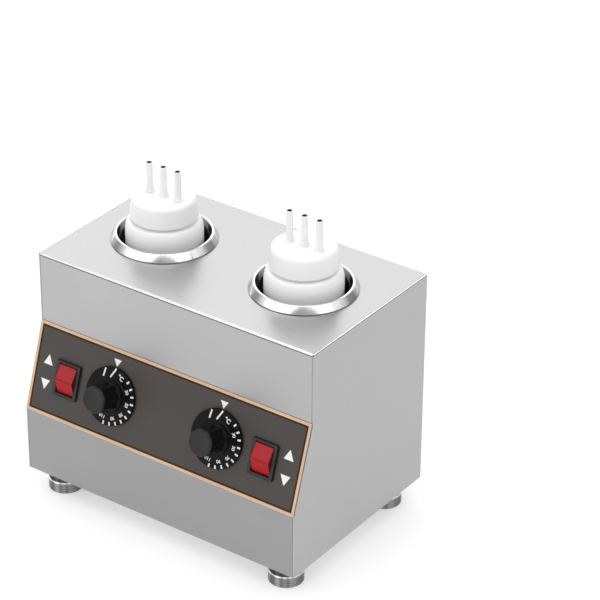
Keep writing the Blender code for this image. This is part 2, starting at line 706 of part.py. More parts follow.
def make_foot(name, x, y):
    """A foot: a shoe, a bevel and a narrower stem, with a recess for its bolt."""
    top = FOOT_HEIGHT - GAP
    ring_top = FOOT_SHOE_HEIGHT + FOOT_RING_HEIGHT
    profile = [
        (FOOT_STEM_RADIUS, top),
        (FOOT_STEM_RADIUS, ring_top),
        (FOOT_SHOE_RADIUS, FOOT_SHOE_HEIGHT),
        (FOOT_SHOE_RADIUS, FOOT_CHAMFER),
        (FOOT_SHOE_RADIUS - FOOT_CHAMFER, 0),
        (FOOT_RECESS_RADIUS, 0),
        (FOOT_RECESS_RADIUS, FOOT_RECESS_DEPTH),
        (BOLT_RADIUS + GAP, FOOT_RECESS_DEPTH),
        (BOLT_RADIUS + GAP, top),
    ]
    foot = turned(f"foot_{name}", profile, FOOT_STEPS, ZINC)
    foot.location = (x, y, 0)
    return foot


def make_foot_bolt(name, x, y):
    """The bolt up through a foot, the base plate and the side sheet's flange."""
    seat = FOOT_RECESS_DEPTH - GAP
    nut_z = BASE_TOP_Z + GAP + SHEET + GAP
    profile = [
        (0, nut_z + NUT_HEIGHT + BOLT_END),
        (BOLT_RADIUS, nut_z + NUT_HEIGHT + BOLT_END),
        (BOLT_RADIUS, seat),
        (BOLT_HEAD_RADIUS, seat),
        (BOLT_HEAD_RADIUS, seat - BOLT_HEAD_HEIGHT),
        (0, seat - BOLT_HEAD_HEIGHT),
    ]
    bolt = turned(f"foot_bolt_{name}", profile, SMALL_STEPS, ZINC, closed=False)
    bolt.location = (x, y, 0)
    corner_radius = NUT_ACROSS_FLATS / 2 / math.cos(math.pi / 6)
    nut = flat_shape(f"foot_nut_{name}", circle(corner_radius, 6), [circle(BOLT_RADIUS + GAP, SMALL_STEPS)],
                     NUT_HEIGHT, ZINC)
    nut.location = (x, y, nut_z + NUT_HEIGHT / 2)


def make_well(side, place):
    """A deep cup that hangs in the top sheet by its flange."""
    outer_floor = WELL_FLOOR_Z - WELL_WALL
    inner_corner = WELL_CORNER - WELL_WALL
    outer_centre = (WELL_OUTER_RADIUS - WELL_CORNER, outer_floor + WELL_CORNER)
    inner_centre = (WELL_RADIUS - inner_corner, WELL_FLOOR_Z + inner_corner)
    profile = [
        (0, WELL_FLOOR_Z),
        *arc(inner_centre, inner_corner, -math.pi / 2, 0, CORNER_STEPS),
        (WELL_RADIUS, WELL_FLANGE_TOP_Z),
        (WELL_FLANGE_RADIUS, WELL_FLANGE_TOP_Z),
        (WELL_FLANGE_RADIUS, WELL_SEAT_Z),
        (WELL_OUTER_RADIUS, WELL_SEAT_Z),
        *arc(outer_centre, WELL_CORNER, 0, -math.pi / 2, CORNER_STEPS),
        (0, outer_floor),
    ]
    return turned(f"well_{side}", profile, WELL_STEPS, POLISHED, place, closed=False)


def make_collar(side, place):
    """The polished cone ring round a well's mouth, over the well's flange."""
    foot_z = TOP_Z + GAP
    top_z = foot_z + COLLAR_HEIGHT
    over_flange = WELL_FLANGE_TOP_Z + GAP
    inner_foot = WELL_RADIUS + GAP
    profile = [
        (COLLAR_MOUTH_RADIUS + COLLAR_LIP, top_z),
        (COLLAR_MOUTH_RADIUS + 2 * COLLAR_LIP, top_z - COLLAR_LIP / 2),
        (COLLAR_RADIUS, foot_z + COLLAR_EDGE),
        (COLLAR_RADIUS, foot_z),
        (COLLAR_RADIUS - COLLAR_FOOT_WIDTH, foot_z),
        (COLLAR_RADIUS - COLLAR_FOOT_WIDTH, over_flange),
        (inner_foot, over_flange),
        (COLLAR_MOUTH_RADIUS - COLLAR_LIP / 2, top_z - COLLAR_LIP),
        (COLLAR_MOUTH_RADIUS, top_z - COLLAR_LIP / 4),
    ]
    return turned(f"well_collar_{side}", profile, WELL_STEPS, POLISHED, place)


def ring(name, inner, outer, low, high, steps, look, parent=None):
    """A plain ring along the parent's Z."""
    profile = [(outer, high), (outer, low), (inner, low), (inner, high)]
    return turned(name, profile, steps, look, parent)


def make_heater(side, place):
    """The band heater round a well, open at a slot at the back, and the insulation over it."""
    band_outer = BAND_RADIUS + BAND_THICKNESS
    band = ring(f"heater_band_{side}", BAND_RADIUS, band_outer, BAND_Z, BAND_Z + BAND_HEIGHT,
                WELL_STEPS, MICA, place)
    opening = box(f"band_slot_{side}", (BAND_SLOT, BAND_THICKNESS + 2 * OVERRUN, BAND_HEIGHT + 2 * OVERRUN),
                  (0, BAND_RADIUS + BAND_THICKNESS / 2, BAND_Z + BAND_HEIGHT / 2), parent=place)
    cut(band, opening)
    inner = band_outer + GAP
    ring(f"insulation_{side}", inner, inner + INSULATION_THICKNESS, BAND_Z - INSULATION_MARGIN,
         BAND_Z + BAND_HEIGHT + INSULATION_MARGIN, WELL_STEPS, WOOL, place)


def make_thermal_cutout(side, place):
    """The over-heat cut-out, held against the underside of a well."""
    top = WELL_FLOOR_Z - WELL_WALL - GAP
    profile = [
        (0, top),
        (CUTOUT_RADIUS, top),
        (CUTOUT_RADIUS, top - CUTOUT_HEIGHT),
        (CUTOUT_CAP_RADIUS, top - CUTOUT_HEIGHT),
        (CUTOUT_CAP_RADIUS, top - CUTOUT_HEIGHT - CUTOUT_CAP_HEIGHT),
        (0, top - CUTOUT_HEIGHT - CUTOUT_CAP_HEIGHT),
    ]
    return turned(f"thermal_cutout_{side}", profile, SMALL_STEPS, CERAMIC, place, closed=False)


def make_bottle(side, place):
    """A squeeze bottle with a rounded shoulder and a wide, open neck. Its thread is left plain."""
    floor = BOTTLE_Z + BOTTLE_WALL
    inner_corner = BOTTLE_BASE_CORNER - BOTTLE_WALL
    shoulder_low, shoulder_high = TOP_Z + SHOULDER_START, TOP_Z + SHOULDER_TOP
    depth = BOTTLE_RADIUS - SHOULDER_TOP_RADIUS
    rise = shoulder_high - shoulder_low
    outer, inner = [], []
    for i in range(SHOULDER_STEPS + 1):
        t = math.pi / 2 * i / SHOULDER_STEPS
        outer.append((SHOULDER_TOP_RADIUS + depth * math.cos(t), shoulder_low + rise * math.sin(t)))
        inner.append((SHOULDER_TOP_RADIUS - BOTTLE_WALL + depth * math.cos(t),
                      shoulder_low - BOTTLE_WALL / 2 + (rise - BOTTLE_WALL / 2) * math.sin(t)))
    outer_centre = (BOTTLE_RADIUS - BOTTLE_BASE_CORNER, BOTTLE_Z + BOTTLE_BASE_CORNER)
    inner_centre = (BOTTLE_INNER_RADIUS - inner_corner, floor + inner_corner)
    profile = [
        (0, floor),
        *arc(inner_centre, inner_corner, -math.pi / 2, 0, CORNER_STEPS),
        *inner,
        (NECK_INNER_RADIUS, shoulder_high - BOTTLE_WALL),
        (NECK_INNER_RADIUS, NECK_TOP_Z),
        (NECK_RADIUS, NECK_TOP_Z),
        (NECK_RADIUS, shoulder_high),
        *reversed(outer),
        *arc(outer_centre, BOTTLE_BASE_CORNER, 0, -math.pi / 2, CORNER_STEPS),
        (0, BOTTLE_Z),
    ]
    return turned(f"bottle_{side}", profile, WELL_STEPS, WHITE, place, closed=False)


def make_cap(side, place):
    """The bottle's screw cap: a round-edged cap with three spouts in a row, each bored right through."""
    low, high = TOP_Z + CAP_BOTTOM, TOP_Z + CAP_TOP
    slant = (CAP_BOTTOM_RADIUS - CAP_TOP_RADIUS) / (CAP_TOP - CAP_BOTTOM)
    edge_centre = (CAP_TOP_RADIUS - CAP_EDGE_RADIUS, high - CAP_EDGE_RADIUS)
    profile = [
        (0, high),
        *arc(edge_centre, CAP_EDGE_RADIUS, math.pi / 2, 0, SHOULDER_STEPS)[:-1],
        (CAP_TOP_RADIUS + slant * CAP_EDGE_RADIUS, high - CAP_EDGE_RADIUS),
        (CAP_BOTTOM_RADIUS, low),
        (CAP_BORE_RADIUS, low),
        (CAP_BORE_RADIUS, CAP_CEILING_Z),
        (0, CAP_CEILING_Z),
    ]
    cap = turned(f"bottle_cap_{side}", profile, WELL_STEPS, WHITE, place, closed=False)
    for i in range(SPOUTS):
        x = SPOUT_SPACING * (i - (SPOUTS - 1) / 2)
        inside = high - CAP_ROOF / 2
        spout = turned(f"spout_{side}_{i}", [
            (0, high + SPOUT_HEIGHT),
            (SPOUT_TIP_RADIUS, high + SPOUT_HEIGHT),
            (SPOUT_RADIUS, high + SPOUT_BASE_HEIGHT),
            (SPOUT_BASE_RADIUS, high),
            (SPOUT_BASE_RADIUS, inside),
            (0, inside),
        ], SPOUT_STEPS, parent=place, closed=False)
        spout.location = (x, 0, 0)
        join(cap, spout)
    for i in range(SPOUTS):
        x = SPOUT_SPACING * (i - (SPOUTS - 1) / 2)
        bore = cylinder(f"spout_bore_{side}_{i}", SPOUT_BORE_RADIUS, CAP_CEILING_Z - OVERRUN,
                        high + SPOUT_HEIGHT + OVERRUN, SPOUT_STEPS, (x, 0), parent=place)
        cut(cap, bore)
    ring(f"cap_seal_{side}", SEAL_BORE_RADIUS, NECK_RADIUS, SEAL_TOP_Z - SEAL_THICKNESS, SEAL_TOP_Z,
         WELL_STEPS, SILICONE, place)
    return cap


def make_knob(side, panel):
    """A knob with a dial skirt, a low boss and a fluted grip, bored from the back for the shaft."""
    sign = SIDES[side]
    axis = frame_empty(f"knob_axis_{side}", (sign * KNOB_X, 0, 0), parent=panel)
    boss_face = SKIRT_FACE + BOSS_HEIGHT
    profile = [
        (0, boss_face),
        (BOSS_RADIUS - BOSS_HEIGHT, boss_face),
        (BOSS_RADIUS, SKIRT_FACE),
        (SKIRT_RADIUS - SKIRT_EDGE, SKIRT_FACE),
        (SKIRT_RADIUS, SKIRT_FACE - SKIRT_EDGE),
        (SKIRT_RADIUS, KNOB_BACK),
        (0, KNOB_BACK),
    ]
    knob = turned(f"knob_{side}", profile, KNOB_STEPS, BLACK, axis, closed=False)
    grip_low = SKIRT_FACE - SKIRT_THICKNESS / 2
    grip = turned(f"grip_{side}", [
        (0, KNOB_TIP),
        (GRIP_TIP_RADIUS - GRIP_EDGE, KNOB_TIP),
        (GRIP_TIP_RADIUS, KNOB_TIP - GRIP_EDGE),
        (GRIP_BASE_RADIUS, boss_face),
        (GRIP_BASE_RADIUS, grip_low),
        (0, grip_low),
    ], KNOB_STEPS, parent=axis, closed=False)
    reach = (GRIP_BASE_RADIUS + GRIP_TIP_RADIUS) / 2 + FLUTE_RADIUS - FLUTE_DEPTH
    for i in range(FLUTES):
        t = math.tau * i / FLUTES
        flute = cylinder(f"flute_{side}_{i}", FLUTE_RADIUS, boss_face + BOSS_HEIGHT, KNOB_TIP + OVERRUN,
                         SPOUT_STEPS, (reach * math.cos(t), reach * math.sin(t)), parent=axis)
        cut(grip, flute)
    join(knob, grip)
    bore = cylinder(f"shaft_bore_{side}", SHAFT_BORE_RADIUS, KNOB_BACK - OVERRUN,
                    KNOB_BACK + SHAFT_DEPTH_IN_KNOB + GAP, SMALL_STEPS, parent=axis)
    cut(knob, bore)
    cylinder(f"thermostat_shaft_{side}", SHAFT_RADIUS, THERMOSTAT_FACE - SHAFT_DEPTH_IN_BODY,
             KNOB_BACK + SHAFT_DEPTH_IN_KNOB, SMALL_STEPS, look=ZINC, parent=axis)


def make_thermostat(side, panel):
    """The thermostat's body behind the slope, with the bush that its shaft turns in."""
    sign = SIDES[side]
    x = sign * KNOB_X
    body = box(f"thermostat_{side}", (THERMOSTAT_WIDTH, THERMOSTAT_WIDTH, THERMOSTAT_DEPTH),
               (x, 0, THERMOSTAT_FACE - THERMOSTAT_DEPTH / 2), ZINC, panel)
    bush = cylinder(f"bush_{side}", BUSH_RADIUS, THERMOSTAT_FACE - SHEET, OVERLAY_FACE,
                    SMALL_STEPS, (x, 0), parent=panel)
    join(body, bush)
    bore = cylinder(f"bush_bore_{side}", SHAFT_BORE_RADIUS, THERMOSTAT_FACE - SHAFT_DEPTH_IN_BODY - GAP,
                    OVERLAY_FACE + OVERRUN, SMALL_STEPS, (x, 0), parent=panel)
    cut(body, bore)


def make_capillary(side):
    """The bulb against the front of a well, and the thin tube from it to the thermostat."""
    sign = SIDES[side]
    bulb_y = WELL_Y - WELL_OUTER_RADIUS - GAP - BULB_RADIUS
    bulb_x = sign * WELL_X
    low = BAND_Z + BAND_HEIGHT + INSULATION_MARGIN + BULB_ABOVE_INSULATION
    neck = 2 * BULB_RADIUS
    end = panel_point(sign * KNOB_X, 0, THERMOSTAT_BACK - GAP)
    start = Vector((bulb_x, bulb_y, low - neck))
    line = route(start, end, FORWARD * CAPILLARY_REACH, OUT_OF_SLOPE * CAPILLARY_REACH)
    high = low + BULB_LENGTH
    bulb = [Vector((bulb_x, bulb_y, z)) for z in (high, high - BULB_RADIUS, low, low - neck / 2)]
    thin_share = CAPILLARY_RADIUS / BULB_RADIUS
    bulb_shares = [thin_share, 1, 1, thin_share]
    shares = [*bulb_shares, *[thin_share] * len(line)]
    tube(f"capillary_{side}", [*bulb, *line], BULB_RADIUS, COPPER, shares)


def make_switch(side, panel):
    """A rocker switch: its housing with a bezel in front and tabs behind, and the rocker on its pivot."""
    sign = SIDES[side]
    x, up = sign * SWITCH_X, -SWITCH_DROP
    housing = box(f"switch_{side}", (BEZEL_WIDTH, BEZEL_HEIGHT, BEZEL_THICKNESS),
                  (x, up, (BEZEL_BACK + BEZEL_FACE) / 2), BLACK, panel)
    bevel(housing, BEZEL_EDGE)
    body_front = BEZEL_BACK + BEZEL_THICKNESS / 2
    body = box(f"switch_body_{side}", (SWITCH_BODY_WIDTH, SWITCH_BODY_HEIGHT, body_front - SWITCH_BACK),
               (x, up, (body_front + SWITCH_BACK) / 2), parent=panel)
    join(housing, body)
    for row in (-1, 1):
        tab = box(f"switch_tab_{side}_{row}", (TAB_THICKNESS, TAB_WIDTH, TAB_LENGTH + OVERRUN),
                  (x, up + row * TAB_SPACING / 2, SWITCH_BACK - (TAB_LENGTH - OVERRUN) / 2), parent=panel)
        join(housing, tab)
    pocket_top = BEZEL_FACE + OVERRUN
    pocket = box(f"switch_pocket_{side}", (POCKET_WIDTH, POCKET_HEIGHT, pocket_top - POCKET_FLOOR),
                 (x, up, (pocket_top + POCKET_FLOOR) / 2), parent=panel)
    cut(housing, pocket)
    pivot = frame_empty(f"rocker_axis_{side}", (x, up, ROCKER_PIVOT), (ROCKER_TILT, 0, 0), panel)
    half = ROCKER_LENGTH / 2
    ridge, end = ROCKER_RIDGE - ROCKER_PIVOT, ROCKER_END - ROCKER_PIVOT
    outline = [
        (half, end),
        (ROCKER_EDGE, ridge),
        (-ROCKER_EDGE, ridge),
        (-half, end),
        (-half, end - ROCKER_SKIRT),
        (-ROCKER_BELLY, -ROCKER_BELLY / 2),
        (0, -ROCKER_BELLY),
        (ROCKER_BELLY, -ROCKER_BELLY / 2),
        (half, end - ROCKER_SKIRT),
    ]
    rocker = flat_shape(f"rocker_{side}", outline, [], ROCKER_WIDTH, RED, pivot)
    rocker.rotation_euler = (math.pi / 2, 0, math.pi / 2)
    bevel(as_mesh(rocker), ROCKER_EDGE)


def make_gland():
    """The empty cable gland in the rear panel, and its nut inside."""
    place = frame_empty("gland_axis", (GLAND_X, REAR_Y, BASE_Z + GLAND_Z), (-math.pi / 2, 0, 0))
    thread_end = -SHEET - 2 * GAP - GLAND_NUT_THICKNESS - BOLT_END
    profile = [
        (GLAND_DOME_RADIUS - GLAND_DOME_RADIUS / 4, GLAND_REACH),
        (GLAND_DOME_RADIUS, GLAND_REACH - GLAND_DOME_RADIUS / 4),
        (GLAND_DOME_RADIUS, GLAND_FLANGE_THICKNESS),
        (GLAND_FLANGE_RADIUS, GLAND_FLANGE_THICKNESS),
        (GLAND_FLANGE_RADIUS, GAP),
        (GLAND_THREAD_RADIUS, GAP),
        (GLAND_THREAD_RADIUS, thread_end),
        (GLAND_BORE_RADIUS, thread_end),
        (GLAND_BORE_RADIUS, GLAND_REACH),
    ]
    turned("cable_gland", profile, FOOT_STEPS, BLACK, place)
    nut_face = -SHEET - GAP
    ring("gland_nut", GLAND_THREAD_RADIUS + GAP, GLAND_NUT_RADIUS, nut_face - GLAND_NUT_THICKNESS, nut_face,
         FOOT_STEPS, BLACK, place)


def make_rear_screw(name, x, z):
    """A screw through the rear panel into a side sheet's flange."""
    profile = [
        (0, GAP + SCREW_HEAD_HEIGHT),
        (SCREW_HEAD_RADIUS / 2, GAP + SCREW_HEAD_HEIGHT),
        (SCREW_HEAD_RADIUS, GAP + SCREW_HEAD_HEIGHT / 2),
        (SCREW_HEAD_RADIUS, GAP),
        (SCREW_RADIUS, GAP),
        (SCREW_RADIUS, GAP - SCREW_LENGTH),
        (0, GAP - SCREW_LENGTH),
    ]
    screw = turned(f"rear_screw_{name}", profile, SCREW_STEPS, ZINC, closed=False)
    screw.rotation_euler = (-math.pi / 2, 0, 0)
    screw.location = (x, REAR_Y, z)


def block_middle():
    return Vector((BLOCK_X, REAR_Y - BLOCK_FROM_BACK, BASE_TOP_Z + GAP + BLOCK_HEIGHT / 2))


def make_terminal_block():
    """The terminal block on the base plate with its screw holes, and the earth stud beside it."""
    middle = block_middle()
    block = box("terminal_block", (BLOCK_WIDTH, BLOCK_DEPTH, BLOCK_HEIGHT), middle, CERAMIC)
    top = middle.z + BLOCK_HEIGHT / 2
    for i in range(BLOCK_SCREWS):
        x = middle.x + BLOCK_SCREW_PITCH * (i - (BLOCK_SCREWS - 1) / 2)
        hole = cylinder(f"block_hole_{i}", BLOCK_SCREW_RADIUS, top - BLOCK_SCREW_DEPTH, top + OVERRUN,
                        SPOUT_STEPS, (x, middle.y))
        cut(block, hole)
    foot = BASE_TOP_Z + GAP
    profile = [
        (0, foot + STUD_HEIGHT),
        (STUD_RADIUS, foot + STUD_HEIGHT),
        (STUD_RADIUS, foot + STUD_NUT_HEIGHT),
        (STUD_NUT_RADIUS, foot + STUD_NUT_HEIGHT),
        (STUD_NUT_RADIUS, foot),
        (0, foot),
    ]
    stud = turned("earth_stud", profile, SPOUT_STEPS, ZINC, closed=False)
    stud.location = (STUD_X, middle.y, 0)


def make_wires():
    """Terminal block to each switch, and each thermostat to its heater band."""
    middle = block_middle()
    for side, sign in SIDES.items():
        tab_end = SWITCH_BACK - TAB_LENGTH - GAP
        end = panel_point(sign * SWITCH_X, -SWITCH_DROP - TAB_SPACING / 2, tab_end)
        start = Vector((middle.x + sign * BLOCK_SCREW_PITCH, middle.y - BLOCK_DEPTH / 2 - GAP, middle.z))
        low = Vector((end.x, end.y, BASE_TOP_Z + WIRE_FLOOR_CLEARANCE))
        first = route(start, low, FORWARD * WIRE_REACH, FORWARD * WIRE_REACH)
        second = route(low, end, FORWARD * WIRE_REACH / 2, OUT_OF_SLOPE * WIRE_REACH / 2)
        tube(f"wire_switch_{side}", [*first, *second[1:]], WIRE_RADIUS, WIRE_RED)
        band_middle = BAND_RADIUS + BAND_THICKNESS / 2
        start = panel_point(sign * KNOB_X, -THERMOSTAT_WIDTH / 3, THERMOSTAT_BACK - GAP)
        end = Vector((sign * WELL_X, WELL_Y - band_middle, BAND_Z - GAP))
        line = route(start, end, -OUT_OF_SLOPE * WIRE_REACH / 4, UPWARD * WIRE_REACH)
        tube(f"wire_heater_{side}", line, WIRE_RADIUS, WIRE_RED)


def build():
    """Make every piece."""
    panel = frame_empty("panel_frame", SLOPE_MIDDLE, (math.pi / 2 - SLOPE_TILT, 0, 0))
    make_front_top_panel(panel)
    make_rear_panel()
    make_base_plate()
    make_control_panel(panel)
    make_gland()
    make_terminal_block()
    make_wires()
    for side, sign in SIDES.items():
        make_side_panel(side)
        place = frame_empty(f"well_axis_{side}", (sign * WELL_X, WELL_Y, 0))
        make_well(side, place)
        make_collar(side, place)
        make_heater(side, place)
        make_thermal_cutout(side, place)
        make_bottle(side, place)
        make_cap(side, place)
        make_thermostat(side, panel)
        make_capillary(side)
        make_knob(side, panel)
        make_switch(side, panel)
        for end, y in foot_rows().items():
            make_foot(f"{end}_{side}", foot_x(side), y)
            make_foot_bolt(f"{end}_{side}", foot_x(side), y)
        for level, z in rear_screw_rows().items():
            make_rear_screw(f"{level}_{side}", rear_screw_x(side), z)


clear_scene()
parts = new_collection("topping_warmer")
cutters = new_collection("cutters")
build()
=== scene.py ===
import json
import math

import bmesh
import bpy
from mathutils import Matrix, Vector


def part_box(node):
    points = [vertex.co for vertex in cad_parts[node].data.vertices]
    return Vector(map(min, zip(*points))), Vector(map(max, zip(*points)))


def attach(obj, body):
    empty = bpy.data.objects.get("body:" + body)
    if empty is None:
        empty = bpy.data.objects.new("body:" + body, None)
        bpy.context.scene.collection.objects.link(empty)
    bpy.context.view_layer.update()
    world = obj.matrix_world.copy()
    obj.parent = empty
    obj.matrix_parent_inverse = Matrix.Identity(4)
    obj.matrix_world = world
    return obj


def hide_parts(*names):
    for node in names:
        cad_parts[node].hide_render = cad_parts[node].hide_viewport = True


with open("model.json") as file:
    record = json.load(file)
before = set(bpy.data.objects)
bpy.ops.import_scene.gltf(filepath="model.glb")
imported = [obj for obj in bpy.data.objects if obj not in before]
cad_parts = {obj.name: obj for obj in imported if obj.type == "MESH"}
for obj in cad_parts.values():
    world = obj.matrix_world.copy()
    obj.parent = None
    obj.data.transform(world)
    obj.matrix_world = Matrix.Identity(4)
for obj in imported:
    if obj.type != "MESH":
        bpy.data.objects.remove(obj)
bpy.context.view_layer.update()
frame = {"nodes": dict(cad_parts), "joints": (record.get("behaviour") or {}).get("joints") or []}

# Sizes in metres
GAP = 0.0003                   # between pieces that fit together
SHEET = 0.001                  # steel sheet
OVERRUN = 0.002                # how far a cutter passes through what it cuts
TOP_BEND = 0.002               # outer radius of the bend along the top's front edge
FOLD = 0.0012                  # outer radius of the slope's two folds
SLOPE_RUN = 0.0252             # how far the lower front stands before the upper front
BUSH_HOLE = 0.0051
SWITCH_WIDTH = 0.0212          # the switch's body, behind its bezel
SWITCH_LENGTH = 0.0286
WINDOW_MARGIN = 0.0003         # round the switch's body

WELL_RADIUS = 0.0382           # inside
WELL_WALL = 0.0008
WELL_CORNER = 0.005
COLLAR_MOUTH = 0.0405
COLLAR_RIM = 0.0024            # width of the collar's rim, which stands on the top sheet
COLLAR_EDGE = 0.0006
COLLAR_LIP = 0.0009
TURNED_EDGE = 0.0002           # rounding of a turned edge

BOTTLE_WALL = 0.0016
BOTTLE_CORNER = 0.004
BOTTLE_PUSH_UP = 0.002         # how far the bottle's base is domed in
SHOULDER_WIDTH = 0.0043
SHOULDER_HEIGHT = 0.0105
SHOULDER_ABOVE_TOP = 0.009     # top sheet to the shoulder's lower edge
NECK_RADIUS = 0.0258
THREAD_HEIGHT = 0.0002
THREAD_WIDTH = 0.0014
THREAD_PITCH = 0.00407
THREAD_TURNS = 2
CAP_EDGE = 0.0034
CAP_TOP_RADIUS = 0.0275
CAP_ROOF = 0.002
CAP_RIM = 0.0005               # rounding of the cap's lower edge
SPOUT_SPACING = 0.015
SPOUT_HEIGHT = 0.0269
SPOUT_RADIUS = 0.0032
SPOUT_TIP_RADIUS = 0.003
SPOUT_BORE = 0.0022
SPOUT_BASE_RADIUS = 0.0047
SPOUT_BASE_HEIGHT = 0.0026
INSIDE_SHADE_SHARE = 0.03              # painted shade: how bright the collar is inside, down in the well's dark gap
SHADE_SHELL = 0.0002                 # thickness of the painted-shade shell in a spout's bore

OVERLAY_BACK = 0.0005          # printed overlay, above the slope's steel
OVERLAY_FACE = 0.0009
OVERLAY_LAP = 0.0014           # how far it reaches past the slope's upper fold
OVERLAY_LOW_INSET = 0.0005     # from the slope's lower fold
OVERLAY_END_INSET = 0.0003     # from the side sheets' outer faces
OVERLAY_CORNER = 0.0005
SKIRT_BACK = 0.0015
SKIRT_FACE = 0.0039
SKIRT_EDGE = 0.0008
SKIRT_RADIUS = 0.0256
BOSS_RADIUS = 0.0165
BOSS_HEIGHT = 0.001
GRIP_BASE_RADIUS = 0.0134
GRIP_TIP_RADIUS = 0.0118
GRIP_EDGE = 0.0021
GRIP_DISH = 0.0002             # how far the grip's face is dished
GRIP_RIM = 0.0016              # between the grip's edge and the dish
KNOB_TIP = 0.0269
FLUTES = 8
FLUTE_RADIUS = 0.0246
FLUTE_DEPTH = 0.0012
FLUTE_TURN = math.radians(-5.5)
FLUTE_RISE = 0.0015            # length in which a flute comes to its full depth
FLUTE_STEPS = 16
SHAFT_BORE = 0.0033
SHAFT_BORE_DEPTH = 0.0153

ROCKER_WIDTH = 0.0184
ROCKER_LENGTH = 0.0254
ROCKER_RIDGE = 0.0105          # above the pivot
ROCKER_END = 0.0056
ROCKER_SKIRT = 0.004
ROCKER_BELLY = 0.0062
ROCKER_HOLLOW = 0.0004         # how far each of its two faces is hollowed
ROCKER_EDGE = 0.0006
ROCKER_TILT = math.radians(5)
MOULDED_EDGE = 0.00025

FOOT_STEM_RADIUS = 0.0148
FOOT_SHOE_RADIUS = 0.0154
FOOT_SHOE_HEIGHT = 0.0095
FOOT_RING_HEIGHT = 0.0013
FOOT_CHAMFER = 0.0006
FOOT_RECESS_RADIUS = 0.007
FOOT_RECESS_DEPTH = 0.005
FOOT_GROOVES = 3
FOOT_GROOVE_DEPTH = 0.0003
FOOT_GROOVE_WIDTH = 0.0008
FOOT_HEIGHT = 0.0211
FOOT_LIGHT_AND_SHADE = (0.3, 1.0, 0.08)  # painted light: the shoe's tone, the bevel's painted highlight and the stem's painted shade
BOLT_RADIUS = 0.003
BOLT_HEAD_RADIUS = 0.0056      # over the hexagon's corners
BOLT_HEAD_HEIGHT = 0.0034

GLAND_BORE = 0.0042
GLAND_THREAD = 0.0078
GLAND_FLANGE = 0.011           # over the hexagon's corners
GLAND_FLANGE_THICKNESS = 0.0045
GLAND_DOME = 0.0088
GLAND_GRIPS = 16
GLAND_GRIP_DEPTH = 0.0004
SCREW_RADIUS = 0.0015
SCREW_HEAD = 0.003
SCREW_HEAD_HEIGHT = 0.0018
SCREW_CROSS_LENGTH = 0.0032
SCREW_CROSS_WIDTH = 0.0007
SCREW_CROSS_DEPTH = 0.0011

EDGE_WIDTH = 0.0005            # painted highlight along a side sheet's top edge
EDGE_BAND = 0.0015             # painted highlight along the middle of the top's front bend
EDGE_HIGHLIGHT = 0.3               # how much lighter the painted edge highlight is than the sheet
EDGE_LINE = 0.0009             # painted shade line under a painted edge highlight
EDGE_SHADE = 0.25              # its share of the sheet's brightness
UPRIGHT_PAINTED_LIGHT = 1.05           # painted light: how much lighter an upright face is made than the top
LOWER_FRONT_SHADE = 0.73              # painted shade: brightness of the lower front beside the upper front

# Printing on the panel and the dials
PRINT = 0.00004                # how far printing stands proud
PRINT_ROOT = 0.00002           # and how far it goes into what carries it
BORDER_WIDTH = 0.0026
BORDER_LINE = 0.0018
POINTER_WIDTH = 0.0077
POINTER_HEIGHT = 0.0066
POINTER_TIP = 0.0258           # from the dial's axis
ARROW_WIDTH = 0.0097
ARROW_HEIGHT = 0.009
ARROW_X = 0.1267
ARROW_UP = 0.0098
ARROW_DOWN = -0.0126
TICK_RADIUS = 0.0236           # to the middle of a tick
TICK_LENGTH = 0.0031
TICK_WIDTH = 0.0015
TICKS = 9
TICK_START = math.radians(43)  # clockwise from the top
TICK_STEP = math.radians(15.7)
LAST_TICK = math.radians(184)
NUMBER_RADIUS = 0.0187
NUMBER_SIZE = 0.0042
UNIT_SIZE = 0.0056
BOLD_SHARE = 0.025             # how much wider each stroke is made, of a word's size
UNIT_PLACE = (0.0079, 0.0186)
NUMBERS = {"30": 62, "50": 96, "70": 128.5, "90": 158.5, "110": 192}   # degrees from the top
OFF_LINE = ((-0.0088, 0.0229), (-0.0099, 0.0152))
START_LINE = ((0.0021, 0.0252), (-0.0027, 0.0163))

# Relief of the finishes, how closely their noise is set to the metre, and how deep light goes into a bottle
BRUSH_DEPTH = 0.000008
BRUSH_ALONG, BRUSH_ACROSS = 14.0, 900.0
POLISH_DEPTH = 0.000004
RING_DEPTH = 0.00002
RINGS = 2600.0
GRAIN_DEPTH = 0.00001
GRAIN = 2200.0
FILM_GRAIN = 3800.0
ROCKER_DEPTH = 0.000006
FIBRE_DEPTH = 0.0004
FLAKE_DEPTH = 0.00006
GLOW_DEPTH = 0.003

ROUND = 128                    # steps round a wide turned piece
SMALL_ROUND = 48
ARC_STEPS = 6
SHARP = math.radians(38)

# Camera
CAMERA_PLACE = (1.2350634, -1.6234723, 1.3622565)
CAMERA_TURN = (math.radians(58.773), 0, math.radians(36.355))
CAMERA_LENS = 168.24
CAMERA_SENSOR = 36
CAMERA_SHIFT = (0.0667, 0.1167)
CAMERA_CLIP = (0.05, 50)

# Studio: the tent's brightness by height, by the turn towards the front, and by the turn to the right
FLOOR_SIZE = 16
TENT_STRENGTH = 1.82
TENT_BY_HEIGHT = ((-1, 0.45), (0, 0.3), (0.2, 0.6), (0.45, 0.9), (1, 0.9))
TENT_BY_TURN = ((-1, 1.0), (-0.7, 1.0), (-0.5, 0.33), (-0.25, 0.36), (0.1, 0.9), (0.5, 1.0), (0.7, 1.0),
                (0.74, 0.25), (1, 0.25))
TENT_BY_SIDE = ((-1, 1.1), (0.2, 1.0), (0.8, 0.9), (1, 0.5))
FLOOR_GLOW = 0.45
LIGHT_PLACE = (-0.9, 0.6, 2.4)
LIGHT_SIZE = 1.2
LIGHT_POWER = 5

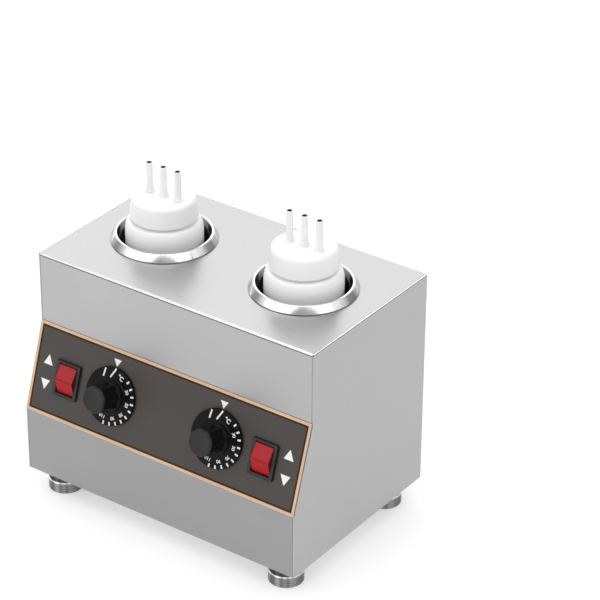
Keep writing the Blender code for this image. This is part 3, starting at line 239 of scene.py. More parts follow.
SIDES = {"left": -1, "right": 1}
JOINTS = {joint["name"]: joint for joint in frame["joints"]}
ACROSS = Vector((1, 0, 0))
OUT = Vector(JOINTS["knob_turn_left"]["axis"]).normalized()
UP_SLOPE = OUT.cross(ACROSS)
SLOPE_MIDDLE = (Vector(JOINTS["knob_turn_left"]["pos_m"]) + Vector(JOINTS["knob_turn_right"]["pos_m"])) / 2
SIDEWAYS = Matrix(((0, 0, 1, 0), (1, 0, 0, 0), (0, 1, 0, 0), (0, 0, 0, 1)))


def given(thing, **settings):
    """The thing with these settings."""
    for name, value in settings.items():
        setattr(thing, name, value)
    return thing


# Forms

def rounded(corners, closed=True, steps=ARC_STEPS):
    """Points of an outline of (x, y) or (x, y, radius) corners, each radius made into an arc."""
    points = []
    for i, corner in enumerate(corners):
        here = Vector(corner[:2])
        ends = not closed and i in (0, len(corners) - 1)
        if len(corner) < 3 or ends:
            points.append(tuple(here))
            continue
        before = Vector(corners[i - 1][:2]) - here
        after = Vector(corners[(i + 1) % len(corners)][:2]) - here
        half = before.angle(after) / 2
        reach = min(corner[2] / math.tan(half), before.length / 2, after.length / 2)
        radius = reach * math.tan(half)
        before.normalize()
        after.normalize()
        centre = here + (before + after).normalized() * radius / math.sin(half)
        first, last = here + before * reach - centre, here + after * reach - centre
        start = math.atan2(first.y, first.x)
        sweep = (math.atan2(last.y, last.x) - start + math.pi) % math.tau - math.pi
        for k in range(steps + 1):
            t = start + sweep * k / steps
            points.append((centre.x + radius * math.cos(t), centre.y + radius * math.sin(t)))
    return points


def add_rings(form, rings, closed=True):
    """Join rings of points, one after the other. A ring of one point is a pole."""
    rows = [[form.verts.new(point) for point in ring] for ring in rings]
    after = rows[1:] + rows[:1] if closed else rows[1:]
    for a, b in zip(rows, after):
        steps = max(len(a), len(b))
        for i in range(steps):
            k = (i + 1) % steps
            corners = [a[i % len(a)], a[k % len(a)], b[k % len(b)], b[i % len(b)]]
            corners = list(dict.fromkeys(corners))
            if len(corners) > 2:
                form.faces.new(corners)


def ring(radius_at, height, steps, centre=(0, 0)):
    """Points of a ring whose radius depends on the turn."""
    x, y = centre
    turns = [math.tau * i / steps for i in range(steps)]
    return [(x + radius_at(t) * math.cos(t), y + radius_at(t) * math.sin(t), height) for t in turns]


def circle(radius, height, steps, centre=(0, 0)):
    if radius == 0:
        return [(*centre, height)]
    return ring(lambda t: radius, height, steps, centre)


def add_turned(form, profile, steps=ROUND, centre=(0, 0), closed=True):
    """Turn a profile of (radius, height) points about an upright axis."""
    add_rings(form, [circle(radius, height, steps, centre) for radius, height in profile], closed)


def add_plate(form, outline, low, high, place=Matrix()):
    """A flat plate of that outline, from low to high along its own Z."""
    rows = []
    for height in (low, high):
        rows.append([form.verts.new(place @ Vector((x, y, height))) for x, y in outline])
    bottom, top = rows
    form.faces.new(list(reversed(bottom)))
    form.faces.new(top)
    for i in range(len(outline)):
        k = (i + 1) % len(outline)
        form.faces.new((bottom[i], bottom[k], top[k], top[i]))


def add_bar(form, start, end, width):
    """A straight printed bar from start to end."""
    a, b = Vector(start), Vector(end)
    along = (b - a).normalized()
    aside = Vector((-along.y, along.x)) * width / 2
    add_print(form, [tuple(a - aside), tuple(b - aside), tuple(b + aside), tuple(a + aside)])


def add_print(form, outline):
    """A thin raised print of that outline."""
    add_plate(form, outline, -PRINT_ROOT, PRINT)


def add_words(form, words, size, place):
    """Words as thin raised printing, centred on place."""
    curve = given(bpy.data.curves.new("words", "FONT"), body=words, size=size, align_x="CENTER",
                  align_y="CENTER", offset=size * BOLD_SHARE, extrude=(PRINT + PRINT_ROOT) / 2)
    holder = bpy.data.objects.new("words", curve)
    mesh = bpy.data.meshes.new_from_object(holder)
    mesh.transform(place @ Matrix.Translation((0, 0, (PRINT - PRINT_ROOT) / 2)))
    form.from_mesh(mesh)
    bpy.data.objects.remove(holder)
    bpy.data.curves.remove(curve)
    bpy.data.meshes.remove(mesh)


def rectangle(width, height, centre=(0, 0), radius=0.0):
    x, y = centre
    corners = [(-1, -1), (1, -1), (1, 1), (-1, 1)]
    outline = [(x + a * width / 2, y + b * height / 2, radius) for a, b in corners]
    return rounded(outline) if radius else [corner[:2] for corner in outline]


def finished_mesh(form):
    """Close a form's mesh, face it outward and shade it smooth but for its sharp edges."""
    bmesh.ops.recalc_face_normals(form, faces=form.faces)
    mesh = bpy.data.meshes.new("form")
    form.to_mesh(mesh)
    form.free()
    mesh.shade_smooth()
    mesh.set_sharp_from_angle(angle=SHARP)
    return mesh


def new_object(name, data):
    made = bpy.data.objects.new(name, data)
    bpy.context.scene.collection.objects.link(made)
    return made


def piece(name, mesh, look, stands_for=(), place=Matrix(), body="housing"):
    """A visible piece that rides on a body, in place of the CAD nodes that it stands for."""
    mesh.name = name
    mesh.transform(place.to_3x3().to_4x4())
    made = new_object(name, mesh)
    made.matrix_world = Matrix.Translation(place.translation)
    mesh.materials.clear()
    mesh.materials.append(look)
    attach(made, body)
    if stands_for:
        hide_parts(*stands_for)
    return made


def weighted(made):
    """Flat faces keep their own normals beside the bends."""
    made.modifiers.new("normals", "WEIGHTED_NORMAL").keep_sharp = True


def bevelled(made, width, segments):
    given(made.modifiers.new("edges", "BEVEL"), width=width, segments=segments, limit_method="ANGLE",
          angle_limit=SHARP, harden_normals=True)


def cut(mesh, cutters):
    """The mesh without the room that the cutters take."""
    made = new_object("cut", mesh)
    tools = []
    for i, cutter in enumerate(cutters):
        tool = new_object(f"cutter_{i}", cutter)
        modifier = made.modifiers.new(f"cut_{i}", "BOOLEAN")
        given(modifier, operation="DIFFERENCE", solver="EXACT", object=tool)
        tools.append(tool)
    bpy.context.view_layer.update()
    seen = made.evaluated_get(bpy.context.evaluated_depsgraph_get())
    result = bpy.data.meshes.new_from_object(seen)
    for used in (made, *tools):
        bpy.data.objects.remove(used)
    result.shade_smooth()
    result.set_sharp_from_angle(angle=SHARP)
    return result


def prism(outline, low, high, place=Matrix()):
    """The mesh of a plate of that outline."""
    form = bmesh.new()
    add_plate(form, outline, low, high, place)
    return finished_mesh(form)


def on_slope(x=0.0, up=0.0, out=0.0):
    """A frame on the slope's steel: X across, Y up the slope, Z outward."""
    turn = Matrix((ACROSS, UP_SLOPE, OUT)).transposed().to_4x4()
    return Matrix.Translation(SLOPE_MIDDLE + ACROSS * x + UP_SLOPE * up + OUT * out) @ turn


def middle_of(node):
    low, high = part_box(node)
    return (low + high) / 2


# Materials

class Nodes:
    """A node tree, and what makes nodes in it."""

    def __init__(self, owner):
        owner.use_nodes = True
        self.tree = owner.node_tree

    def add(self, kind, **settings):
        return given(self.tree.nodes.new(kind), **settings)

    def put(self, source, socket):
        self.tree.links.new(source, socket)

    def feed(self, node, values):
        """Give a node's inputs their values, each a plain value or another node's output."""
        for key, value in values.items():
            if isinstance(value, bpy.types.NodeSocket):
                self.put(value, node.inputs[key])
            else:
                node.inputs[key].default_value = value
        return node.outputs

    def maths(self, operation, first, second=0.0):
        return self.feed(self.add("ShaderNodeMath", operation=operation), {0: first, 1: second})[0]

    def times(self, first, second):
        return self.maths("MULTIPLY", first, second)

    def plus(self, first, second):
        return self.maths("ADD", first, second)

    def blend(self, first, share, second):
        """A share of the first, and the rest of the second."""
        return self.plus(self.times(first, share), self.times(second, 1 - share))

    def along(self, way, source):
        """How far a place or a normal goes in a direction."""
        node = self.add("ShaderNodeVectorMath", operation="DOT_PRODUCT")
        return self.feed(node, {0: source, 1: way})["Value"]

    def between(self, source, low, high, low_in=0.3, high_in=0.7):
        values = {"Value": source, "From Min": low_in, "From Max": high_in, "To Min": low, "To Max": high}
        return self.feed(self.add("ShaderNodeMapRange"), values)["Result"]

    def ramp(self, source, stops, kind="LINEAR"):
        """A colour by where the source stands among stops, each a place from 0 to 1 and its colour."""
        node = self.add("ShaderNodeValToRGB")
        node.color_ramp.interpolation = kind
        elements = node.color_ramp.elements
        while len(elements) < len(stops):
            elements.new(0.5)
        for element, (place, colour) in zip(elements, stops):
            element.position = place
            element.color = (*colour, 1)
        self.put(source, node.inputs["Fac"])
        return node.outputs["Color"]


class Look(Nodes):
    """A Principled material and the procedural nodes that feed it."""

    def __init__(self, name, **sockets):
        self.material = bpy.data.materials.new(name)
        super().__init__(self.material)
        self.shader = self.tree.nodes["Principled BSDF"]
        for socket, value in sockets.items():
            self.shader.inputs[socket.replace("_", " ").title().replace("Ior", "IOR")].default_value = value
        self.place = self.add("ShaderNodeTexCoord").outputs["Object"]

    def stretched(self, scales):
        return self.feed(self.add("ShaderNodeMapping"), {"Vector": self.place, "Scale": scales})[0]

    def axes(self):
        return self.feed(self.add("ShaderNodeSeparateXYZ"), {0: self.place})

    def polar(self):
        """Radius, height and the two shares of the direction round the piece's own Z."""
        x, y, z = self.axes()
        radius = self.maths("SQRT", self.plus(self.times(x, x), self.times(y, y)))
        return radius, z, self.maths("DIVIDE", x, radius), self.maths("DIVIDE", y, radius)

    def within(self, source, low, high):
        """One between two values, and nothing outside them."""
        return self.times(self.maths("GREATER_THAN", source, low), self.maths("LESS_THAN", source, high))

    def joined(self, x, y, z=0.0):
        return self.feed(self.add("ShaderNodeCombineXYZ"), {0: x, 1: y, 2: z})[0]

    def noise(self, scale, place=None, detail=2.0):
        values = {"Vector": place or self.place, "Scale": scale, "Detail": detail}
        return self.feed(self.add("ShaderNodeTexNoise"), values)["Fac"]

    def tint(self, source, first, second, low_in=0.3, high_in=0.7, below=None):
        """A colour between two, into the base colour, with another colour below them if one is given."""
        stops = [(low_in, first), (high_in, second)]
        if below:
            stops.insert(0, (0, below))
        self.put(self.ramp(source, stops), self.shader.inputs["Base Color"])

    def colour(self, red, green, blue):
        self.put(self.joined(red, green, blue), self.shader.inputs["Base Color"])

    def rough(self, source, low, high, low_in=0.3, high_in=0.7):
        self.put(self.between(source, low, high, low_in, high_in), self.shader.inputs["Roughness"])

    def bump(self, source, distance=GRAIN_DEPTH, strength=0.5):
        values = {"Height": source, "Distance": distance, "Strength": strength}
        self.put(self.feed(self.add("ShaderNodeBump"), values)["Normal"], self.shader.inputs["Normal"])


def satin_steel(name, along, tone, edge_low, edge_high, lower_shade=1.0, shade_below=0.0):
    """Fine-brushed sheet: long scratches along one axis, faint smears, and painted highlights on the edges
    inside a box, with a painted shade line under them.

    Upright faces are a little rougher than the top and a painted light makes them lighter; below a height a
    painted shade makes the sheet darker.
    """
    look = Look(name, metallic=1.0)
    stretch = [BRUSH_ALONG if axis == along else BRUSH_ACROSS for axis in "xyz"]
    brushed = look.noise(1.0, look.stretched(stretch))
    both = look.blend(brushed, 0.4, look.noise(9.0, detail=3.0))
    axes = look.axes()
    edge = 1.0
    # Painted highlight: inside the edge box the sheet is made lighter
    for axis, low, high in zip(axes, edge_low, edge_high):
        edge = look.times(look.within(axis, low, high), edge)
    upright_face = look.maths("LESS_THAN", axes[2], FRONT_HIGH.z - TOP_BEND)
    # Painted shade: a dark line just under the edge highlight
    under = look.within(axes[2], edge_low[2] - EDGE_LINE, edge_low[2])
    # Painted shading: the lower front darker, upright faces lighter, the line under the edges darker
    painted_shading = look.between(axes[2], lower_shade, 1.0, shade_below - SLOPE_RUN, shade_below)
    painted_shading = look.times(painted_shading, look.between(upright_face, 1.0, UPRIGHT_PAINTED_LIGHT, 0.0, 1.0))
    painted_shading = look.times(painted_shading, look.between(under, 1.0, EDGE_SHADE, 0.0, 1.0))
    shade = look.times(look.times(look.between(both, 0.95, 1.05), painted_shading), tone)
    shade = look.plus(shade, look.times(edge, EDGE_HIGHLIGHT))
    look.colour(shade, shade, look.times(shade, 1.012))
    uneven = look.plus(both, look.times(upright_face, 0.6))
    look.rough(look.maths("SUBTRACT", uneven, look.times(edge, 0.3)), 0.22, 0.56, 0.3, 1.1)
    look.bump(brushed, BRUSH_DEPTH, 0.6)
    return look.material


def turned_metal(name, colours, roughness, ring_depth, streaks, shaded_inside=0.0):
    """Lathe-turned metal: fine rings, painted reflection streaks round the axis, and painted shade, dark,
    inside a radius.
    """
    look = Look(name, metallic=1.0)
    radius, height, across, along = look.polar()
    rings = look.noise(RINGS, look.joined(radius, height))
    reflection_streak = look.noise(streaks, look.joined(across, along))
    # Painted shade: inside the radius the colour drops to a small share
    painted_shading = tuple(INSIDE_SHADE_SHARE * value for value in colours[0])
    outside = look.maths("GREATER_THAN", radius, shaded_inside)
    shine = look.plus(reflection_streak, look.maths("SUBTRACT", outside, 1.0))
    look.tint(look.between(shine, 0.1, 0.9, 0.3, 0.7), *colours, 0.1, 0.9, painted_shading)
    look.rough(look.blend(rings, 0.5, reflection_streak), *roughness)
    look.bump(rings, ring_depth)
    return look.material


def foot_metal():
    """Turned foot: a shoe with painted reflection streaks, light and dark, a painted highlight on the bevel,
    and painted shade on the stem.
    """
    look = Look("turned_foot_metal", metallic=1.0)
    radius, height, across, along = look.polar()
    rings = look.noise(RINGS, look.joined(0.0, 0.0, height))
    reflection_streak = look.noise(2.2, look.joined(across, along), 1.0)
    starts = (0, FOOT_SHOE_HEIGHT, FOOT_SHOE_HEIGHT + FOOT_RING_HEIGHT)
    stops = [(start / FOOT_HEIGHT, (tone, tone, tone)) for start, tone in zip(starts, FOOT_LIGHT_AND_SHADE)]
    zone = look.ramp(look.maths("DIVIDE", height, FOOT_HEIGHT), stops, "CONSTANT")
    tone = look.times(zone, look.between(reflection_streak, 0.5, 1.4, 0.38, 0.66))
    look.colour(tone, tone, tone)
    look.rough(rings, 0.2, 0.34)
    look.bump(rings, RING_DEPTH)
    return look.material


def knob_plastic():
    """Black plastic, glossy on the skirt and the grip's side and satin on the grip's face, which a painted
    light makes lighter.
    """
    look = Look("knob_black", specular_ior_level=0.13)
    face = look.between(look.along(OUT, look.place), 0.0, 1.0, KNOB_TIP - GRIP_EDGE, KNOB_TIP - GRIP_DISH)
    fine = look.noise(GRAIN)
    # Painted light: the grip's face is given a lighter black than the rest
    look.tint(face, (0.004, 0.004, 0.0045), (0.034, 0.034, 0.035), 0.0, 1.0)
    look.rough(look.blend(face, 0.7, fine), 0.28, 0.5, 0.0, 1.0)
    look.bump(fine)
    return look.material


def switch_plastic():
    """Black plastic, satin on the bezel's face, which a painted light makes lighter than the painted shade
    on its sides.
    """
    look = Look("switch_black", specular_ior_level=0.15)
    normal = look.place.node.outputs["Normal"]
    face = look.between(look.along(OUT, normal), 0.0, 0.9, 0.8, 0.97)
    fine = look.noise(GRAIN)
    mixed = look.plus(face, look.times(fine, 0.1))
    # Painted light on faces that look out, painted shade on the sides
    look.tint(mixed, (0.002, 0.003, 0.003), (0.04, 0.048, 0.047), 0.0, 1.0)
    look.rough(mixed, 0.4, 0.6, 0.0, 1.0)
    look.bump(fine)
    return look.material


def rocker_plastic():
    """Red plastic, smooth on the two faces that are pressed; painted light makes the lower face a deeper red
    than the upper, and painted shade darkens the sides.
    """
    look = Look("red_plastic", specular_ior_level=0.15)
    away = look.maths("ABSOLUTE", look.axes()[0])
    side = look.between(away, 0.0, 1.0, ROCKER_WIDTH / 2 - ROCKER_EDGE, ROCKER_WIDTH / 2 - ROCKER_EDGE / 4)
    mixed = look.blend(side, 0.85, look.noise(120.0, detail=3.0))
    lower = look.between(look.along(UP_SLOPE, look.place), 0.0, 0.3, ROCKER_EDGE, 0.0)
    # Painted light: the upper face paler, the lower a deeper red; painted shade on the sides
    upper_red, lower_red, shaded_side_red = (0.375, 0.031, 0.036), (0.37, 0.003, 0.006), (0.1, 0.003, 0.005)
    look.tint(look.maths("MAXIMUM", mixed, lower), lower_red, shaded_side_red, 0.3, 1.0, upper_red)
    look.rough(mixed, 0.32, 0.6, 0.0, 1.0)
    look.bump(look.noise(1400.0), ROCKER_DEPTH)
    return look.material


def plated_steel():
    """Zinc-plated steel with a faint bloom."""
    look = Look("zinc_plated_steel", metallic=1.0)
    bloom = look.noise(160.0, detail=4.0)
    look.tint(bloom, (0.5, 0.5, 0.47), (0.66, 0.67, 0.69))
    look.rough(bloom, 0.28, 0.42)
    look.bump(look.noise(1800.0, detail=3.0))
    return look.material


def moulded(name, dark, light, roughness, grain=GRAIN, **sockets):
    """Moulded plastic: a fine grain, and slow changes of colour and sheen."""
    look = Look(name, **sockets)
    slow = look.noise(45.0, detail=3.0)
    fine = look.noise(grain)
    look.tint(slow, dark, light)
    look.rough(look.blend(slow, 0.5, fine), *roughness)
    look.bump(fine)
    return look.material


def fibre_wool():
    """Pressed fibre insulation."""
    look = Look("insulation_wool")
    fibres = look.noise(700.0, look.stretched((1.0, 1.0, 0.25)), 6.0)
    look.tint(fibres, (0.5, 0.47, 0.39), (0.78, 0.76, 0.7))
    look.rough(fibres, 0.85, 1.0)
    look.bump(fibres, FIBRE_DEPTH, 0.8)
    return look.material


def mica_band():
    """The heater band's mica and steel cover, with a heat tint."""
    look = Look("mica_heater_band", metallic=0.35)
    flakes = look.noise(240.0, detail=5.0)
    look.tint(flakes, (0.26, 0.2, 0.13), (0.52, 0.45, 0.34))
    look.rough(flakes, 0.4, 0.65)
    look.bump(flakes, FLAKE_DEPTH, 0.6)
    return look.material


def floor_material():
    look = Look("floor_white", specular_ior_level=0.1,
                emission_color=(1, 1, 1, 1), emission_strength=FLOOR_GLOW)
    soft = look.noise(2.0, detail=3.0)
    look.tint(soft, (0.62, 0.62, 0.62), (0.65, 0.65, 0.65))
    look.rough(soft, 0.85, 0.95)
    return look.material


FRONT_LOW, FRONT_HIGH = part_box("front_top_panel")
SIDE_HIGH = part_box("side_panel_right")[1]
# The edge boxes hold the painted edge highlights, along the top's front bend and the side sheets' top edges
STEEL = satin_steel("satin_steel", "x", 0.475, (-1, -1, FRONT_HIGH.z - EDGE_BAND),
                    (1, FRONT_LOW.y + SLOPE_RUN + EDGE_BAND, 1), LOWER_FRONT_SHADE, SLOPE_MIDDLE.z)
# Painted light: the side sheet's tone is set for how brightly its upright faces are lit
STEEL_SIDE = satin_steel("satin_steel_side", "y", 0.46, (-1, -1, SIDE_HIGH.z - EDGE_WIDTH), (1, 1, 1))
STEEL_BACK = satin_steel("satin_steel_back", "x", 0.42, (-1, -1, SIDE_HIGH.z), (1, 1, 1))
# Painted reflection streaks round the collar, and painted shade inside its mouth
POLISHED = turned_metal("polished_steel", ((0.6, 0.6, 0.6), (0.86, 0.86, 0.86)), (0.1, 0.18), POLISH_DEPTH,
                        3.5, WELL_RADIUS + COLLAR_RIM * 0.8)
# Painted shade: the well's steel is made near black for the deep gap round the bottle
SHADED_WELL_STEEL = turned_metal("shaded_well_steel", ((0.1, 0.1, 0.105), (0.14, 0.14, 0.145)), (0.3, 0.42),
                          GRAIN_DEPTH, 2.0)
FOOT_METAL = foot_metal()
ZINC = plated_steel()
PANEL = moulded("panel_film", (0.046, 0.039, 0.036), (0.052, 0.044, 0.041), (0.5, 0.6), FILM_GRAIN)
ORANGE = moulded("orange_print", (0.62, 0.42, 0.27), (0.7, 0.48, 0.32), (0.5, 0.6), FILM_GRAIN)
BROWN = moulded("brown_print", (0.05, 0.018, 0.005), (0.065, 0.026, 0.008), (0.5, 0.6), FILM_GRAIN,
                specular_ior_level=0.1)
WHITE_PRINT = moulded("white_print", (0.82, 0.82, 0.81), (0.88, 0.88, 0.87), (0.5, 0.6), FILM_GRAIN)
KNOB_BLACK = knob_plastic()
BLACK = moulded("black_plastic", (0.018, 0.02, 0.02), (0.026, 0.028, 0.028), (0.34, 0.5),
                specular_ior_level=0.2)
SWITCH_BLACK = switch_plastic()
RED = rocker_plastic()
WHITE = moulded("bottle_plastic", (0.92, 0.92, 0.915), (0.94, 0.94, 0.935), (0.38, 0.5), 900.0,
                subsurface_weight=0.3, subsurface_scale=GLOW_DEPTH, subsurface_radius=(1, 1, 1))
# Painted shade for the spouts' bores
BORE_SHADE = moulded("spout_bore", (0.05, 0.048, 0.045), (0.08, 0.078, 0.075), (0.5, 0.6))
SILICONE = moulded("seal_silicone", (0.6, 0.57, 0.5), (0.7, 0.67, 0.6), (0.5, 0.65), 600.0)
CREAM = moulded("cream_plastic", (0.62, 0.57, 0.45), (0.7, 0.66, 0.54), (0.45, 0.6))
COPPER = turned_metal("copper_tube", ((0.62, 0.3, 0.18), (0.76, 0.42, 0.28)), (0.25, 0.4), GRAIN_DEPTH, 2.0)
WIRE = moulded("wire_sleeve", (0.36, 0.03, 0.025), (0.46, 0.05, 0.04), (0.45, 0.6), 1500.0)
WOOL = fibre_wool()
MICA = mica_band()


# The box

def front_outline(low, high):
    """The front and top sheet's outer line, seen from +X, from its lower edge up and then back."""
    upper_y = low.y + SLOPE_RUN
    half = (UP_SLOPE * (SLOPE_RUN / UP_SLOPE.y) / 2).z
    return [
        (low.y, low.z),
        (low.y, SLOPE_MIDDLE.z - half, FOLD),
        (upper_y, SLOPE_MIDDLE.z + half, FOLD),
        (upper_y, high.z, TOP_BEND),
        (high.y, high.z),
    ]


def inward(points, distance):
    """An open line of points moved to its right by a distance."""
    line = [Vector(point) for point in points]
    moved = []
    for i, point in enumerate(line):
        steps = []
        if i > 0:
            steps.append((point - line[i - 1]).normalized())
        if i < len(line) - 1:
            steps.append((line[i + 1] - point).normalized())
        sides = [Vector((step.y, -step.x)) for step in steps]
        middle = sum(sides, Vector((0, 0))).normalized()
        moved.append(tuple(point + middle * distance / middle.dot(sides[0])))
    return moved


def make_front_top():
    """The front and top sheet, folded in one piece, with its holes."""
    low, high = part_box("front_top_panel")
    outer = rounded(front_outline(low, high), closed=False)
    section = outer + list(reversed(inward(outer, SHEET)))
    cutters = []
    for side in SIDES:
        well = middle_of(f"well_{side}")
        hole = [point[:2] for point in circle(WELL_RADIUS + WELL_WALL + GAP, 0, ROUND, well.xy)]
        cutters.append(prism(hole, high.z - SHEET - OVERRUN, high.z + OVERRUN))
        cutters += panel_holes(side, -SHEET - OVERRUN, on_slope())
    mesh = cut(prism(section, low.x, high.x, SIDEWAYS), cutters)
    weighted(piece("front_top_sheet", mesh, STEEL, ["front_top_panel"]))


def knob_x(side):
    return JOINTS[f"knob_turn_{side}"]["pos_m"][0]


def panel_holes(side, low, place=Matrix()):
    """Cutters for a knob's bush and a switch's body."""
    bush = [point[:2] for point in circle(BUSH_HOLE, 0, SMALL_ROUND, (knob_x(side), 0))]
    away = Vector(JOINTS[f"rocker_tilt_{side}"]["pos_m"]) - SLOPE_MIDDLE
    window = rectangle(SWITCH_WIDTH + 2 * WINDOW_MARGIN, SWITCH_LENGTH + 2 * WINDOW_MARGIN,
                       (away.x, away.dot(UP_SLOPE)))
    return [prism(outline, low, OVERRUN, place) for outline in (bush, window)]


def make_foot(name):
    """A turned foot: a grooved shoe, a bright bevel and a stem."""
    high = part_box(f"foot_{name}")[1]
    ring_low, ring_high = FOOT_SHOE_HEIGHT, FOOT_SHOE_HEIGHT + FOOT_RING_HEIGHT
    corners = [
        (FOOT_STEM_RADIUS, high.z, TURNED_EDGE),
        (FOOT_STEM_RADIUS, ring_high),
        (FOOT_SHOE_RADIUS, ring_low, TURNED_EDGE),
    ]
    room = (ring_low - FOOT_CHAMFER) / (FOOT_GROOVES + 1)
    for i in range(FOOT_GROOVES):
        middle = ring_low - room * (i + 1)
        corners += [
            (FOOT_SHOE_RADIUS, middle + FOOT_GROOVE_WIDTH / 2, TURNED_EDGE),
            (FOOT_SHOE_RADIUS - FOOT_GROOVE_DEPTH, middle, TURNED_EDGE),
            (FOOT_SHOE_RADIUS, middle - FOOT_GROOVE_WIDTH / 2, TURNED_EDGE),
        ]
    corners += [
        (FOOT_SHOE_RADIUS, FOOT_CHAMFER, TURNED_EDGE),
        (FOOT_SHOE_RADIUS - FOOT_CHAMFER, 0, TURNED_EDGE),
        (FOOT_RECESS_RADIUS, 0, TURNED_EDGE),
        (FOOT_RECESS_RADIUS, FOOT_RECESS_DEPTH),
        (BOLT_RADIUS + GAP, FOOT_RECESS_DEPTH),
        (BOLT_RADIUS + GAP, high.z),
    ]
    form = bmesh.new()
    add_turned(form, rounded(corners, steps=3), ROUND)
    piece(f"turned_foot_{name}", finished_mesh(form), FOOT_METAL,
          [f"foot_{name}"], upright(f"foot_{name}"))


def hexagon(corner_radius, t):
    """The radius at a turn of t of a hexagon."""
    step = math.pi / 3
    return corner_radius * math.cos(step / 2) / math.cos(t % step - step / 2)


def make_foot_bolt(name):
    """A hexagon-headed bolt up through the foot."""
    low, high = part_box(f"foot_bolt_{name}")
    head = low.z + BOLT_HEAD_HEIGHT
    form = bmesh.new()
    rings = []
    for height, inset in ((low.z, FOOT_CHAMFER), (low.z + FOOT_CHAMFER / 2, 0), (head, 0)):
        most = BOLT_HEAD_RADIUS - inset
        rings.append(ring(lambda t: min(hexagon(BOLT_HEAD_RADIUS, t), most), height, SMALL_ROUND))
    end = high.z - TURNED_EDGE
    rows = ((BOLT_RADIUS, head), (BOLT_RADIUS, end), (BOLT_RADIUS - TURNED_EDGE, high.z), (0, high.z))
    shank = [circle(radius, height, SMALL_ROUND) for radius, height in rows]
    add_rings(form, [circle(0, low.z, SMALL_ROUND), *rings, *shank], closed=False)
    piece(f"hex_bolt_{name}", finished_mesh(form), ZINC,
          [f"foot_bolt_{name}"], upright(f"foot_bolt_{name}"))


def facing_back(x, y, z):
    """A frame whose Z points out of the rear panel."""
    return Matrix.Translation((x, y, z)) @ Matrix.Rotation(-math.pi / 2, 4, "X")


def make_rear_screw(name):
    """A cross-recessed screw in the rear panel."""
    low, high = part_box(f"rear_screw_{name}")
    middle = (low + high) / 2
    length = high.y - low.y - SCREW_HEAD_HEIGHT
    profile = rounded([
        (0, SCREW_HEAD_HEIGHT),
        (SCREW_HEAD * 0.6, SCREW_HEAD_HEIGHT, SCREW_HEAD / 2),
        (SCREW_HEAD, SCREW_HEAD_HEIGHT / 2, SCREW_HEAD / 4),
        (SCREW_HEAD, 0),
        (SCREW_RADIUS, 0),
        (SCREW_RADIUS, -length + SCREW_RADIUS),
        (0, -length),
    ], closed=False)
    form = bmesh.new()
    add_turned(form, profile, SMALL_ROUND, closed=False)
    slots, slot_low = [], SCREW_HEAD_HEIGHT - SCREW_CROSS_DEPTH
    for sides in ((SCREW_CROSS_LENGTH, SCREW_CROSS_WIDTH), (SCREW_CROSS_WIDTH, SCREW_CROSS_LENGTH)):
        slots.append(prism(rectangle(*sides), slot_low, SCREW_HEAD_HEIGHT + OVERRUN))
    mesh = cut(finished_mesh(form), slots)
    place = facing_back(middle.x, high.y - SCREW_HEAD_HEIGHT, middle.z)
    piece(f"cross_screw_{name}", mesh, ZINC, [f"rear_screw_{name}"], place)


def plain(radius, t):
    return radius


def gripped(radius, t):
    """The radius at a turn of t of a round nut with shallow grips."""
    return radius - GLAND_GRIP_DEPTH * (1 + math.cos(GLAND_GRIPS * t)) / 2


def make_gland():
    """The cable gland: a hexagon flange, and a dome nut with shallow grips, bored through."""
    low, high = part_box("cable_gland")
    middle = (low + high) / 2
    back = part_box("rear_panel")[1].y
    reach, thread = high.y - back, low.y - back
    edge = GLAND_DOME / 4
    middle_cut = edge * (1 - math.cos(math.pi / 4))
    rows = [
        (plain, GLAND_BORE, thread),
        (plain, GLAND_THREAD, thread),
        (plain, GLAND_THREAD, GAP),
        (hexagon, GLAND_FLANGE, GAP),
        (hexagon, GLAND_FLANGE, GLAND_FLANGE_THICKNESS),
        (plain, GLAND_DOME, GLAND_FLANGE_THICKNESS),
        (gripped, GLAND_DOME, GLAND_FLANGE_THICKNESS + edge / 4),
        (gripped, GLAND_DOME, reach - edge),
        (plain, GLAND_DOME - middle_cut, reach - middle_cut),
        (plain, GLAND_DOME - edge, reach),
        (plain, GLAND_BORE + TURNED_EDGE, reach),
        (plain, GLAND_BORE, reach - TURNED_EDGE),
    ]
    form = bmesh.new()
    add_rings(form, [ring(lambda t: kind(radius, t), height, ROUND) for kind, radius, height in rows])
    piece("ribbed_gland", finished_mesh(form), BLACK,
          ["cable_gland"], facing_back(middle.x, back, middle.z))


# Wells and bottles

def upright(node):
    """A frame on a round node's axis, with its Z at the floor."""
    middle = middle_of(node)
    return Matrix.Translation((middle.x, middle.y, 0))


def make_well(side):
    """A drawn cup that hangs by its flange."""
    low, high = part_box(f"well_{side}")
    flange = (high.x - low.x) / 2
    outer = WELL_RADIUS + WELL_WALL
    floor = low.z + WELL_WALL
    profile = rounded([
        (0, floor),
        (WELL_RADIUS, floor, WELL_CORNER - WELL_WALL),
        (WELL_RADIUS, high.z, WELL_WALL),
        (flange, high.z, TURNED_EDGE),
        (flange, high.z - WELL_WALL, TURNED_EDGE),
        (outer, high.z - WELL_WALL),
        (outer, low.z, WELL_CORNER),
        (0, low.z),
    ], closed=False)
    form = bmesh.new()
    add_turned(form, profile, closed=False)
    piece(f"drawn_well_{side}", finished_mesh(form), SHADED_WELL_STEEL,
          [f"well_{side}"], upright(f"well_{side}"))


